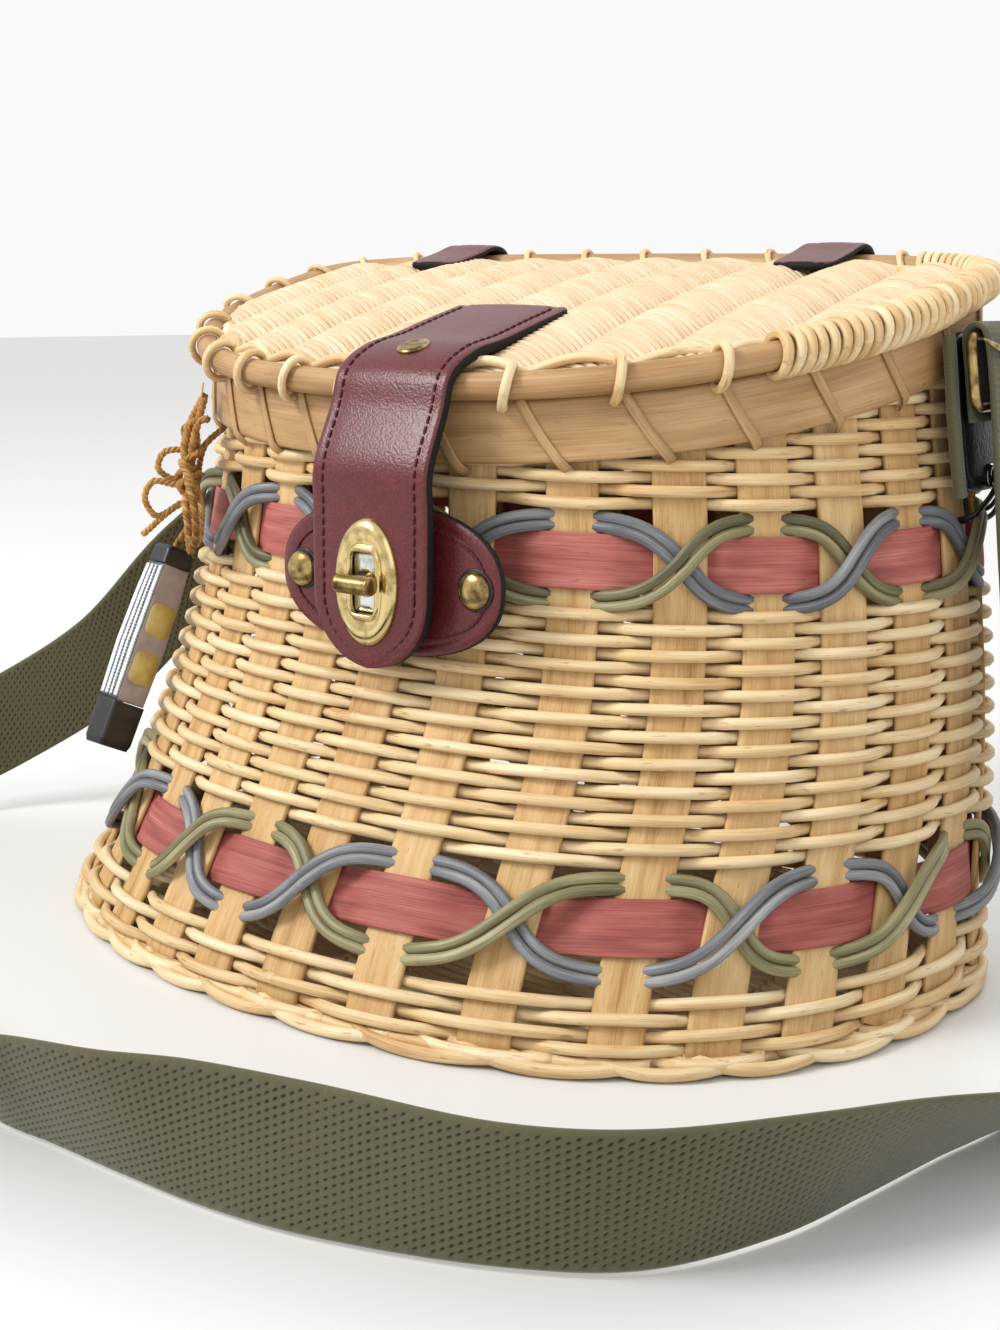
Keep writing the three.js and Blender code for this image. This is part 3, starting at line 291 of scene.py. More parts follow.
# Plan at a height: a superellipse whose front and back halves have their own depth and roundness.
def planPoint(z, angle):
    halfWidth, front, middle, back = (np.interp(z, levels, column) for column in columns)
    s, c = np.sin(angle), np.cos(angle)
    power = 2 / np.where(c >= 0, basket["frontRoundness"], basket["backRoundness"])
    x = halfWidth * np.sign(s) * np.abs(s) ** power
    y = middle + np.where(c >= 0, front - middle, back - middle) * np.abs(c) ** power
    return np.stack(np.broadcast_arrays(x, y, z), -1)


def pathLengths(curve):  # length along a line up to each of its points
    return np.concatenate([[0], np.cumsum(np.linalg.norm(np.diff(curve[:, :3], axis=0), axis=1))])


turnAngles = np.linspace(0, 2 * np.pi, 4001)
bellyLengths = pathLengths(planPoint(float(basket["belly"]), turnAngles))


def angleAt(turn):  # a turn is a share of the way round the belly, from the middle of the front
    return np.interp(np.mod(turn, 1), bellyLengths / bellyLengths[-1], turnAngles)


def levelFrame(turn, z):  # point, direction round the basket, and level direction out of it
    angle = angleAt(turn)
    here = planPoint(z, angle)
    along = unit(planPoint(z, angle + 0.015) - planPoint(z, angle - 0.015))
    return here, along, np.stack([along[..., 1], -along[..., 0], np.zeros_like(along[..., 0])], -1)


def skin(turn, z, out):  # point off the wall, square to its slope, and that direction
    turn, z, out = np.broadcast_arrays(turn, z, out)
    here, along, _ = levelFrame(turn, z)
    angle = angleAt(turn)
    slope = unit(planPoint(z + 1.5, angle) - planPoint(z - 1.5, angle))
    normal = unit(np.cross(along, slope))
    return here + normal * out[..., None], normal


rimFrontY = float(planPoint(basket["rimFront"], 0.0)[1])


def rimHeight(y):  # front height + tan(tilt)*(y - front y)
    return basket["rimFront"] + math.tan(basket["rimTilt"]) * (y - rimFrontY)


def topHeight(turn):  # where the wall meets the tilted rim, found by stepping
    z = np.full(np.shape(turn), float(basket["rimFront"]))
    for _ in range(10):
        z = rimHeight(planPoint(z, angleAt(turn))[..., 1])
    return z


def stakeTurn(stake):  # (stake + phase + its drift from even spacing)/count
    nearest = np.mod(np.asarray(stake, float) + stakeCount / 2, stakeCount) - stakeCount / 2
    return (stake + basket["stakePhase"] + np.interp(nearest, np.arange(-3, 6), basket["drift"])) / stakeCount


# Weave: round reed over and under flat stakes; sizes in millimetres, as everywhere below
weave = {
    "reedRadius": 1.92, "pitch": 3.8, "swing": 2.95, "crispness": 1.35, "sag": 0.25, "plane": -3.0,
    "stakeWidth": 16.2, "stakeThickness": 2.3, "stakeFoot": 5.2, "wobble": 0.3, "samples": 10,
    "rimCover": 17.0,
    "rows": {"lower": (4.6, 20.0, 11), "middle": (55.6, 124.2, 31), "upper": (156.6, 236.0, 71)},  # first, last, seed
}


def wander(position, amount, waves, seed):  # slow hand-made waver: a few sines with set phases
    r = np.random.default_rng(seed)
    total = np.zeros_like(position)
    for w in waves:
        total = total + r.uniform(0.4, 1) * np.sin(position * w + r.uniform(0, 2 * np.pi))
    return amount * total / len(waves)


def crisp(k, wave):  # a wave pressed towards +1 and -1: tanh(k*wave)/tanh(k)
    return np.tanh(k * wave) / math.tanh(k)


# One row: out = plane + swing*side, side +1 in front of even stakes and -1 behind odd ones, one over each row.
def weaveRun(first, last, seed):
    stake = np.arange(stakeCount * weave["samples"]) / weave["samples"]
    turn = stakeTurn(stake)
    cover = topHeight(turn) - weave["rimCover"]
    whole, short = [], []
    for row in range(int(round((last - first) / weave["pitch"])) + 1):
        side = crisp(weave["crispness"], np.cos(np.pi * (stake + row)))
        z = first + row * weave["pitch"] + wander(stake, weave["wobble"], (0.45, 0.9, 1.8), seed + row)
        z = z - weave["sag"] * side  # a strand sags a little where it passes in front
        out = weave["plane"] + weave["swing"] * side + wander(stake, 0.25, (0.7, 1.6), seed + 90 + row)
        line = np.stack(skin(turn, z, out))
        keep = z < cover
        if keep.all():
            whole.append(line)
        elif keep.any():  # a short row: its ends tuck in under the rim band
            shift = int(np.argmax(~keep))
            keep, line = np.roll(keep, -shift), np.roll(line, -shift, 1)
            edges = np.flatnonzero(np.diff(np.concatenate([[0], keep.astype(int), [0]])))
            short += [line[:, start:end] for start, end in edges.reshape(-1, 2) if end - start > 12]
    section = (weave["reedRadius"], weave["reedRadius"] * 0.94, 8)
    made = [strands(*np.stack(whole, 1), *section, True, 1, seed)] if whole else []
    return made + [strands(*line, *section, False, 1, seed + 50 + i) for i, line in enumerate(short)]


for level, run in weave["rows"].items():
    addPiece("weave_" + level, weaveRun(*run), [roundReed], ["basket_wall"] if level == "lower" else ())
print("weave made")


# Each stake follows the wall's skin from the foot to 1.5 mm under the rim, leaning a little as it goes.
def makeStakes():
    stake = np.arange(stakeCount)[:, None]
    turn = stakeTurn(stake)
    foot = weave["stakeFoot"]
    z = foot + (topHeight(turn) - foot - 1.5) * np.linspace(0, 1, 40)[None]
    lean = wander(z * 0.05 + stake * 5.0, 0.0012, (0.6, 1.3), 5)
    line = skin(turn + lean, z, weave["plane"] + wander(z * 0.1 + stake, 0.2, (0.8, 2.1), 6))
    return strands(*line, weave["stakeWidth"] / 2, weave["stakeThickness"] / 2, 14, False, 0.45, 3)


addPiece("wall_stakes", [makeStakes()], [flatReed])

# Border: each end of reed is turned down over the foot and in behind the next stake.
border = {"radius": 2.0, "drop": 1.9, "rise": 6.0, "reach": 0.78, "proud": 0.8}


# s runs from -1 to 1 along an end: its height grows with |s|^1.8 and it draws in with |s|^2.4.
def makeBorder():
    s = np.linspace(-1, 1, 15)[None]
    turn = stakeTurn(np.arange(stakeCount)[:, None] + 0.5 + s * border["reach"])
    z = border["drop"] + 0.3 + (border["rise"] - border["drop"]) * np.abs(s) ** 1.8 * np.where(s < 0, 1, 0.5)
    out = border["proud"] - 5.5 * np.abs(s) ** 2.4 + np.where(s > 0, 1.2 * s, 0)
    return strands(*skin(turn, z, out), border["radius"], border["radius"] * 0.9, seed=9)


addPiece("foot_border", [makeBorder()], [roundReed])
print("stakes and border made")

# Dyed bands and their lacing; for each band its height, the stakes it covers, and the shift of the two canes
bands = {
    "height": 17.0, "thickness": 1.3, "proud": 0.9, "crispness": 1.6,
    "laceRadius": 1.75, "laceSwing": 11.9, "steepness": 1.7, "samples": 12,
    "levels": {"lower": (38.4, 1, 0, 2), "upper": (139.2, 0, 3, 1)},
}
bandStake = np.arange(stakeCount * bands["samples"]) / bands["samples"]
halfStake = weave["stakeThickness"] / 2


def makeBand(z, covered, seed):  # flat reed in front of every second stake and behind the others
    side = crisp(bands["crispness"], np.cos(np.pi * (bandStake + covered)))
    out = weave["plane"] + side * (halfStake + bands["thickness"] / 2 + bands["proud"] * (side > 0))
    line = skin(stakeTurn(bandStake), z + wander(bandStake, 0.3, (0.4, 1.1), seed), out)
    halfHeight = bands["height"] / 2 * (1 - 0.04 * (side < 0))
    return strands(*line, halfHeight, bands["thickness"] / 2, 16, True, 0.4, seed)


# A pair of canes: height = z + swing*sin(stake*90 degrees), pressed flat at its turns, where the canes go behind
# a stake; slope is +1 on the rising crossing, which lies on top, -1 on the falling one and 0 at the turns.
def makeLace(z, shift, seed):
    radius = bands["laceRadius"]
    phase = (bandStake + shift) * np.pi / 2
    height = z + bands["laceSwing"] * crisp(bands["steepness"], np.sin(phase))
    slope = np.cos(phase)
    front, behind = weave["plane"] + halfStake + radius + 0.2, weave["plane"] - halfStake - radius - 0.1
    ease = crisp(2.2, np.abs(slope) ** 1.3)
    out = behind + (front - behind) * ease + 2.2 * radius * np.clip(slope, 0, 1) ** 2
    middle, normals = skin(stakeTurn(bandStake), height, out)
    across = unit(np.cross(unit(np.roll(middle, -1, 0) - np.roll(middle, 1, 0)), normals))
    made = []
    for pair in (-1, 1):
        beside = pair * radius * (0.98 + wander(bandStake, 0.12, (0.9, 2.0), seed + pair))
        centre = middle + across * beside[:, None]
        made.append(strands(centre, normals, radius, radius * 0.92, 8, True, 1, seed + pair))
    return made


for level, (z, covered, slateShift, oliveShift) in bands["levels"].items():
    addPiece(level + "_dyed_band", [makeBand(z, covered, 21 + covered)], [roseReed], [level + "_band"])
    for dye, cane, shift, seed in (("slate", slateCane, slateShift, 40), ("olive", oliveCane, oliveShift, 60)):
        lace = makeLace(z, shift, seed + shift)
        addPiece("%s_%s_lacing" % (level, dye), lace, [cane], ["%s_lace_%s" % (level, dye)])
print("bands and lacing made")

# Rim band with its cane lashings
rim = {
    "height": 19.0, "thickness": 3.0, "out": 2.0, "drop": 0.9, "samples": 336,
    "laceWidth": 3.2, "laceThickness": 0.9, "slant": 0.3,
}
rimUp = np.array([0, -math.sin(basket["rimTilt"]), math.cos(basket["rimTilt"])])
rimBack = np.array([0, math.cos(basket["rimTilt"]), math.sin(basket["rimTilt"])])


def rimPoint(turn, drop, out):  # the wall's skin, dropped from the rim and moved out
    return skin(turn, topHeight(turn) - drop, out)


# One closed flat strand, the rim's line lowered by half the band's height, with slight waves.
def makeRimBand():
    turn = np.arange(rim["samples"]) / rim["samples"]
    drop = rim["drop"] + rim["height"] / 2 + wander(turn * 40, 0.35, (0.5, 1.2), 12)
    line = rimPoint(turn, drop, rim["out"] + wander(turn * 60, 0.3, (0.6, 1.3), 13))
    return strands(*line, rim["height"] / 2, rim["thickness"] / 2, 18, True, 0.42, 14)


# Flat cane over the band: drop goes from above its top edge to below its foot while the turn slants along.
def makeLashings(seed):
    s = np.linspace(-0.14, 1.16, 14)[None]
    uneven = np.random.default_rng(seed).uniform(-0.05, 0.05, (stakeCount, 1))
    turn = stakeTurn(np.arange(stakeCount)[:, None] + 0.58 + rim["slant"] * (s - 0.1) + 0.06 * s ** 2 + uneven)
    front = rim["out"] + rim["thickness"] / 2 + rim["laceThickness"] / 2
    ends = np.clip(np.maximum(-s, s - 1) / 0.15, 0, 1)  # both ends dive in behind the band
    line = rimPoint(turn, rim["drop"] + s * rim["height"], front + 0.15 - 4.2 * ends ** 1.5)
    return strands(*line, rim["laceWidth"] / 2, rim["laceThickness"] / 2, 8, False, 0.6, seed)


addPiece("rim_flat_reed", [makeRimBand()], [rimWood], ["rim_band"])
addPiece("rim_lashings", [makeLashings(15)], [rimWood])

# Lid: rod, hooks and close winding, border plait and ribbed panel
lid = {
    "rodRadius": 4.25, "lift": 4.55, "overhang": 5.1,
    "hook": {"reed": 1.55, "lean": 2.4, "seed": 18, "gape": 0.15, "lower": 1.12},
    "winding": {"reed": 1.65, "lean": 1.6, "seed": 19}, "wrapFrom": 0.166, "wrapTo": 0.345, "wrapCount": 40,
    "plait": [(7.4, 5.2, 1.75), (9.8, 3.6, 1.5)],  # how far in, how high and how thick each of its layers is
}
lidWeave = {
    "inset": 5.25, "ribs": 10, "arch": 6.4, "sink": 1.2, "pitch": 2.75, "radius": 1.5, "slant": 9.0, "crown": 5.0,
    "seed": 80,
}
lidOrigin = np.array([0, rimFrontY, basket["rimFront"]]) + rimUp * lid["lift"]


def lidLine(turn, out=0.0):  # the rim's own line with an overhang, laid in the tilted plane
    here, _, level = levelFrame(turn, topHeight(turn))
    point = here + level * (lid["overhang"] + np.asarray(out, float))[..., None]
    point[..., 2] = rimHeight(point[..., 1])
    return point + rimUp * lid["lift"]


def rodFrame(turn):  # centre, direction along the rod and direction out of the lid
    along = unit(lidLine(turn + 0.002) - lidLine(turn - 0.002))
    return lidLine(turn), along, np.cross(along, rimUp)


# A ring of reed round the rod, leaning along it: centre + out*cos(a)*r + up*sin(a)*r + along*lean*sin(a + 0.5).
def rodRings(turns, reed, lean, seed, gape=0.0, lower=1.0):
    a = np.linspace(0, 2 * np.pi, 20, endpoint=False)[None]
    centre, along, out = rodFrame(turns)
    lean = lean * np.random.default_rng(seed).uniform(0.7, 1.3, (len(centre), 1))
    shrink = np.interp(centre[:, 1], (40, 90), (1.0, 0.72))[:, None]  # finer reed behind
    radius = lid["rodRadius"] + reed * (0.96 + gape) - (1 - shrink) * 2.2 * reed
    high = np.sin(a) * radius * np.where(np.sin(a) < 0, lower, 1.05)
    points = (centre[:, None] + out[:, None] * (np.cos(a) * radius)[..., None]
              + rimUp * high[..., None] + along[:, None] * (lean * np.sin(a + 0.5))[..., None])
    away = unit(out[:, None] * np.cos(a)[..., None] + rimUp * np.sin(a)[..., None])
    return strands(points, away, reed * shrink, reed * 0.85 * shrink, 8, True, 1, seed)


rodCentre, _, rodOut = rodFrame(np.arange(280) / 280)
lidRod = strands(rodCentre, rodOut, lid["rodRadius"], lid["rodRadius"], 16, True, 1, 17)
hookTurns = stakeTurn(np.arange(stakeCount) + 0.5) % 1
hookTurns = hookTurns[(hookTurns <= lid["wrapFrom"] - 0.01) | (hookTurns >= lid["wrapTo"] + 0.01)]
winding = rodRings(np.linspace(lid["wrapFrom"], lid["wrapTo"], lid["wrapCount"]), **lid["winding"])
addPiece("lid_edge_rod", [lidRod], [rimWood], ["lid_rod"])
addPiece("lid_hooks", [rodRings(hookTurns, **lid["hook"])], [roundReed])
addPiece("lid_close_winding", [winding], [roundReed], ["lid_edge_wrap"])


# Border plait: from each hook a strand climbs along the lid's edge and dives behind the next hook.
def makePlait():
    start = np.sort(np.concatenate([hookTurns, np.arange(lid["wrapFrom"], lid["wrapTo"], 0.034)]))
    end = np.append(start[1:], start[0] + 1)
    s = np.linspace(-0.12, 1.22, 16)[None]
    turn = start[:, None] + (end - start)[:, None] * s
    rise = np.sin(np.pi * np.clip((s + 0.12) / 1.34, 0, 1) ** 1.35)
    made = []
    for layer, (inward, lift, radius) in enumerate(lid["plait"]):
        edge = lidLine(turn, -4.2 - (inward - 4.2) * rise)
        atFront = np.clip((20 - edge[..., 1]) / 60, 0.12, 1)  # the back edge lies nearly flat
        points = edge + rimUp * (0.6 + lift * rise * atFront)[..., None]
        made.append(strands(points, rimUp, radius, radius * 0.9, seed=23 + layer))
    return made


addPiece("lid_border_plait", makePlait(), [roundReed])


def outlineSpan(x, inset, lineAt):  # where an outline drawn in by the inset crosses x, and its half width
    turn = np.arange(1440) / 1440
    angle, line = angleAt(turn), lineAt(turn, -inset)
    isFront = (angle <= np.pi / 2) | (angle >= 3 * np.pi / 2)
    low, high = (line[half][np.argsort(line[half][:, 0])] for half in (isFront, ~isFront))
    return np.interp(x, low[:, 0], low[:, 1]), np.interp(x, high[:, 0], high[:, 1]), low[-1, 0]


# Ribbed panel: over each hidden rib the strands arch from valley to valley and lean forward,
# height = arch*cos(pi*u)^0.75 for u from -0.5 to 0.5 across the rib, plus the lid's slight crown.
def ribbedPanel(lineAt, place, up, form):
    pitch, radius = form["pitch"], form["radius"]
    half = outlineSpan(0.0, form["inset"], lineAt)[2]
    ribWidth = 2 * half / form["ribs"]
    u = np.linspace(-0.5, 0.5, 13)[None]
    made, r = [], np.random.default_rng(form["seed"])
    for rib in range(form["ribs"]):
        middle = -half + (rib + 0.5) * ribWidth
        low, high, _ = outlineSpan(np.clip(middle, -half * 0.98, half * 0.98), form["inset"], lineAt)
        rows = np.arange(low - pitch * 2, high + pitch * 2, pitch)[:, None]
        x = middle + u * ribWidth * 1.1 + 0 * rows
        low, high, _ = outlineSpan(x, form["inset"] - radius, lineAt)
        y = np.clip(rows - form["slant"] * (u + 0.9 * u ** 2) + r.uniform(-0.12, 0.12, rows.shape), low, high)
        share = np.clip((y - low) / np.maximum(high - low, 1), 0, 1)
        height = form["arch"] * np.cos(np.pi * u) ** 0.75 - radius - form["sink"]
        height = height * np.clip(np.minimum(share, 1 - share) * 9 + 0.35, 0, 1)  # lower towards the edge
        height = height + form["crown"] * np.clip(1 - (x / half) ** 2, 0, 1) * 4 * share * (1 - share)
        points = place(x, y, height + r.uniform(-0.07, 0.07, rows.shape))
        made.append(strands(points, up, radius, radius * 0.95, 7, seed=form["seed"] + rib))
    return made


# A place on the lid: origin + back*(y - front)/cos(tilt) + up*height, at the x given
def onLid(x, y, height):
    points = lidOrigin + rimBack * ((y - lidOrigin[1]) / rimBack[1])[..., None] + rimUp * height[..., None]
    points[..., 0] = x
    return points


lidPanel = ribbedPanel(lidLine, onLid, rimUp, lidWeave)
addPiece("lid_ribbed_panel", lidPanel, [lidReed], ["lid_panel"])
print("rim and lid made")

# Base: the same ribbed weave, laid flat under the basket
baseWeave = {
    "inset": 4.0, "ribs": 14, "arch": 1.2, "sink": 0.0, "pitch": 4.6, "radius": 1.9, "slant": 2.0, "crown": 0.0,
    "seed": 120,
}


def footEdge(turn, out):  # the wall's line 2 mm up, moved out level
    here, _, level = levelFrame(turn, 2.0)
    return here + level * out


def onBase(x, y, height):  # the same place under the basket, height counted downwards
    return np.stack([x, y, 3.6 - height], -1)


basePanel = ribbedPanel(footEdge, onBase, (0, 0, -1.0), baseWeave)
addPiece("base_ribbed_panel", basePanel, [roundReed], ["basket_base"])
print("base made")


# Leather, its stitching, and the plates and strips it is cut from
def evenPath(curve, count):  # the same line in steps of equal length
    lengths = pathLengths(curve)
    wanted = np.linspace(0, lengths[-1], count)
    return np.stack([np.interp(wanted, lengths, curve[:, i]) for i in range(curve.shape[1])], -1)


# A centripetal spline through the given points, then evened out by length.
def smoothPath(points, count):
    p = np.asarray(points, float)
    p = np.vstack([2 * p[0] - p[1], p, 2 * p[-1] - p[-2]])
    gap = np.linalg.norm(np.diff(p, axis=0), axis=1)[:, None] ** 0.5
    p0, p1, p2, p3 = p[:-3], p[1:-2], p[2:-1], p[3:]
    g0, g1, g2 = gap[:-2], gap[1:-1], gap[2:]
    leave = ((p1 - p0) / g0 - (p2 - p0) / (g0 + g1) + (p2 - p1) / g1) * g1
    arrive = ((p2 - p1) / g1 - (p3 - p1) / (g1 + g2) + (p3 - p2) / g2) * g1
    t = np.linspace(0, 1, 24, endpoint=False)[None, :, None]
    p1, p2, leave, arrive = (a[:, None] for a in (p1, p2, leave, arrive))
    curve = (p1 * (2 * t ** 3 - 3 * t ** 2 + 1) + leave * (t ** 3 - 2 * t ** 2 + t)
             + p2 * (3 * t ** 2 - 2 * t ** 3) + arrive * (t ** 3 - t ** 2)).reshape(-1, p.shape[1])
    return evenPath(np.vstack([curve, p[-2]]), count)


def solidBox(name):  # a solid's two corners in millimetres
    return (np.array(corner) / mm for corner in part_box(name))


# Polished hide: pebbled grain under a thin gloss, darker in its hollows, rubbed a little paler on top,
# height = wrinkles*0.5 + distance to the nearest pebble; grain is a pebble's width in metres.
def leatherMaterial(name, base, dark, wear, grain, relief, roughness, coat):
    material, tree, shader = newMaterial(name, Roughness=roughness, IOR=1.43, Coat_Weight=coat, Coat_Roughness=0.22)
    place = {"Vector": addNode(tree, "ShaderNodeTexCoord").outputs["Object"]}
    values = {"Scale": 1 / grain, "Randomness": 1.0}
    pebbles = addNode(tree, "ShaderNodeTexVoronoi", values, place, feature="SMOOTH_F1")
    wrinkles = addNode(tree, "ShaderNodeTexNoise", {"Scale": 1 / (grain * 6), "Detail": 4.0}, place)
    links = {0: wrinkles.outputs["Fac"], 2: pebbles.outputs["Distance"]}
    height = addNode(tree, "ShaderNodeMath", {1: 0.5}, links, operation="MULTIPLY_ADD")
    ramp = addNode(tree, "ShaderNodeValToRGB", None, {"Fac": height.outputs[0]})
    setStops(ramp, [(0.2, wear), (0.45, base), (0.8, dark)])
    values = {"Strength": relief, "Distance": 0.0003}
    bump = addNode(tree, "ShaderNodeBump", values, {"Height": height.outputs[0]}, invert=True).outputs[0]
    plug(tree, shader, Base_Color=ramp.outputs["Color"], Normal=bump, Coat_Normal=bump)
    return material


# Even surfaces: one colour drifting faintly into another, as in thread, plastic, enamel and cast metal.
def cloudyMaterial(name, first, second, scale, roughness, detail=4.0, stops=(0.35, 0.7), **surface):
    material, tree, shader = newMaterial(name, Roughness=roughness, **surface)
    place = {"Vector": addNode(tree, "ShaderNodeTexCoord").outputs["Object"]}
    clouds = addNode(tree, "ShaderNodeTexNoise", {"Scale": scale, "Detail": detail}, place)
    ramp = addNode(tree, "ShaderNodeValToRGB", None, {"Fac": clouds.outputs["Fac"]})
    setStops(ramp, list(zip(stops, (first, second))))
    plug(tree, shader, Base_Color=ramp.outputs["Color"])
    return material


maroonLeather = leatherMaterial("polished_maroon_leather", "#641f22", "#521719", "#6f2b2c", 0.0007, 0.32, 0.4, 0.16)
blackLeather = leatherMaterial("black_leather", "#1b1817", "#0c0b0b", "#2b2625", 0.0011, 0.4, 0.42, 0.25)
# Cut edge and underside: raw black hide, matt and coarse, so the strap gets a dark outline; on the closure strap a
# thickened black backing in this colour also stands for painted shadow along the strap's side.
cutEdgeAndShadow = leatherMaterial("black_leather_edge_and_painted_shadow", "#161313", "#090808", "#241f1e", 0.0005, 0.6, 0.75, 0.0)
# Waxed sewing thread: dull, with the shade of its twist, about a millimetre from ply to ply.
redThread = cloudyMaterial("dark_red_waxed_thread", "#430710", "#5a0d18", 900.0, 0.7, 2.0, (0.3, 0.8))


# Strip of leather: at each station a flat loop, its top crowned and grooved along the stitching,
# point = centre + side*half*v + face*(thickness/2*edge(v) + pad*(1 - v^2) - groove near the stitch line).
class Strip:
    def __init__(self, path, side, thickness, halfAt, inset, pad, backingAndShadow=0.0):
        self.path, self.lengths = path, pathLengths(path)
        along = unit(np.gradient(path, axis=0))
        self.side = unit(side - along * (side * along).sum(-1, keepdims=True))
        self.face = np.cross(along, self.side)
        self.thickness, self.halfAt, self.inset, self.pad, self.backingAndShadow = thickness, halfAt, inset, pad, backingAndShadow

    def at(self, s, w, lift):  # a place on the strip: length along, distance across, height above its middle
        centre, side, face = (
            np.stack([np.interp(s, self.lengths, a[:, i]) for i in range(3)], -1)
            for a in (self.path, self.side, self.face)
        )
        return centre + side * np.asarray(w)[..., None] + face * np.asarray(lift)[..., None]

    def surface(self, stations, topCount=21, underCount=7):  # even steps under it, their sines over the top
        s = stations[:, None]
        half = self.halfAt(s)
        v = np.concatenate([np.sin(np.linspace(-1, 1, topCount) * np.pi / 2), np.linspace(1, -1, underCount)])[None]
        top = np.arange(topCount + underCount)[None] < topCount
        w = v * half
        edge = np.clip((half - np.abs(w)) / 0.9, 0, 1)
        crest = self.thickness / 2 * (0.55 + 0.45 * np.sqrt(1 - (1 - edge) ** 2))
        groove = 0.3 * np.exp(-((half - self.inset - np.abs(w)) / 0.7) ** 2)
        # the underside sits lower by the backing, a black layer that is partly back leather and partly painted shadow
        # beside the strip
        under = -self.thickness / 2 - self.backingAndShadow
        lift = np.where(top, crest + self.pad * (1 - v ** 2) - groove, under)
        lift = np.where(~top & (np.abs(v) > 0.99), under + 0.5, lift)
        points = self.at(s + 0 * w, w, lift)
        rows, columns = points.shape[:2]
        isTop = np.tile(np.arange(columns) < topCount - 1, rows - 1)
        faces = gridFaces(rows, columns, False, True).tolist() + capFaces(rows, columns)
        return (points, faces), np.concatenate([np.where(isTop, 0, 1), [1, 1]])


# Stitches: short bows of thread, height = 0.32*(1 - u^2) over the leather and their ends sunk in.
thread = {"pitch": 3.3, "radius": 0.42}


def stitches(places, ahead, out, length, seed):
    u = np.linspace(-1, 1, 7)[None, :, None]
    centres = places[:, None] + ahead[:, None] * u * length / 2 + out[:, None] * (0.32 * (1 - u ** 2) - 0.12)
    return strands(centres, out[:, None], thread["radius"], thread["radius"] * 0.8, 6, seed=seed)


plateLow, plateHigh = solidBox("lock_plate")
lockX = (plateLow[0] + plateHigh[0]) / 2
closure = {
    # backing: black layer under the strap, partly its back leather and partly painted shadow along its side
    "width": 44.0, "thickness": 2.5, "backingAndShadow": 1.4, "pad": 0.7, "lockHeight": 131.0,
    "stitchLength": 2.3, "stitchInset": 4.2,
    # on the lid: back from the rod and up from it, in shares of the width
    "onLid": [(1.32, 0.207), (0.91, 0.202), (0.545, 0.193), (0.227, 0.202), (0.0, 0.157)],
}
lockHeight = closure["lockHeight"]


def closurePath():  # from the lid over the rod, then straight down in front of the lock
    width = closure["width"]
    rodFront = lidLine(np.array(0.0))
    start = (rodFront - lidOrigin) @ rimBack
    hangY = plateHigh[1] + 0.3 + closure["thickness"] / 2
    clear = lid["rodRadius"] + 0.8 + closure["thickness"] / 2
    points = [lidOrigin + rimBack * (start + back * width) + rimUp * (up * width) for back, up in closure["onLid"]]
    points += [
        (0, rodFront[1] - clear * 0.85, rodFront[2] + clear * 0.5),
        (0, rodFront[1] - clear * 1.35, rodFront[2] - clear),
        (0, hangY, rodFront[2] - width * 0.55), (0, hangY, lockHeight + width / 2),
        (0, hangY, lockHeight), (0, hangY, lockHeight - width * 0.6),
    ]
    points = np.array(points)
    points[:, 0] = lockX
    return smoothPath(points, 160)


path = closurePath()
total = pathLengths(path)[-1]
tip = closure["width"] / 2


def closureHalf(s):  # half width: full, then a blunt round tip, with a slight hand-cut waver
    into = np.clip(1 - (total - s) / tip, 0, 1)
    return tip * np.sqrt(np.maximum(1 - into ** 2.1, 0.0004)) * (1 + 0.015 * np.sin(s * 0.07))


closureStrip = Strip(path, np.array([[1.0, 0, 0]]), closure["thickness"], closureHalf, closure["stitchInset"],
                     closure["pad"], closure["backingAndShadow"])
roundTip = total - tip * (1 - np.sin(np.linspace(0.03, 1, 20) * np.pi / 2))
mesh, which = closureStrip.surface(np.concatenate([np.linspace(0, total - tip, 90), roundTip]))
addPiece("closure_strap_leather", [mesh], [maroonLeather, cutEdgeAndShadow], ["closure_strap"],
         materialOf=which)

# Stitch line: down one side, round the tip and up the other side
inner = tip - closure["stitchInset"]
bend = np.linspace(-np.pi / 2, np.pi / 2, 18)
straight = np.arange(4, total - tip - 1.5, thread["pitch"])
lineS = np.concatenate([straight, total - tip + inner * np.cos(bend), straight[::-1]])
lineW = np.concatenate([np.full(len(straight), -inner), inner * np.sin(bend), np.full(len(straight), inner)])
lift = np.full(len(lineS), closure["thickness"] / 2 + 0.15)
spots = closureStrip.at(lineS, lineW, lift)
ahead = unit(closureStrip.at(lineS + 0.2 * np.gradient(lineS), lineW + 0.2 * np.gradient(lineW), lift) - spots)
out = unit(closureStrip.at(lineS, lineW, lift + 1) - spots)
seam = stitches(spots, ahead, out, closure["stitchLength"], 150)
addPiece("closure_strap_stitching", [seam], [redThread])


# x = halfWidth*|cos a|^p and y = halfHeight*|sin a|^p, with the signs of cos and sin and p = 2/roundness
def superEllipse(halfWidth, halfHeight, roundness, angle):
    power = 2 / roundness
    c, s = np.cos(angle), np.sin(angle)
    return halfWidth * np.sign(c) * np.abs(c) ** power, halfHeight * np.sign(s) * np.abs(s) ** power


# Plates: superellipses between an inner and an outer one, point = centre + right*x + up*z + out*height,
# each row a share of the way out and a height, from the middle of the front to the back.
def plate(centre, right, up, outline, rows, corners=72, inner=None):
    angle = (np.arange(corners) + 0.5) / corners * 2 * np.pi
    x1, z1 = superEllipse(*outline, angle)
    x0, z0 = superEllipse(*inner, angle) if inner else (0 * angle, 0 * angle)
    share, height = np.array(rows, float).T[:, :, None]
    x, z = x0 + (x1 - x0) * share, z0 + (z1 - z0) * share
    points = (centre + right * x[..., None] + up * z[..., None]
              + np.cross(right, up) * (height + 0 * x)[..., None])
    faces = gridFaces(len(rows), corners, inner is not None, True).tolist()
    return points, faces if inner else faces + capFaces(len(rows), corners)


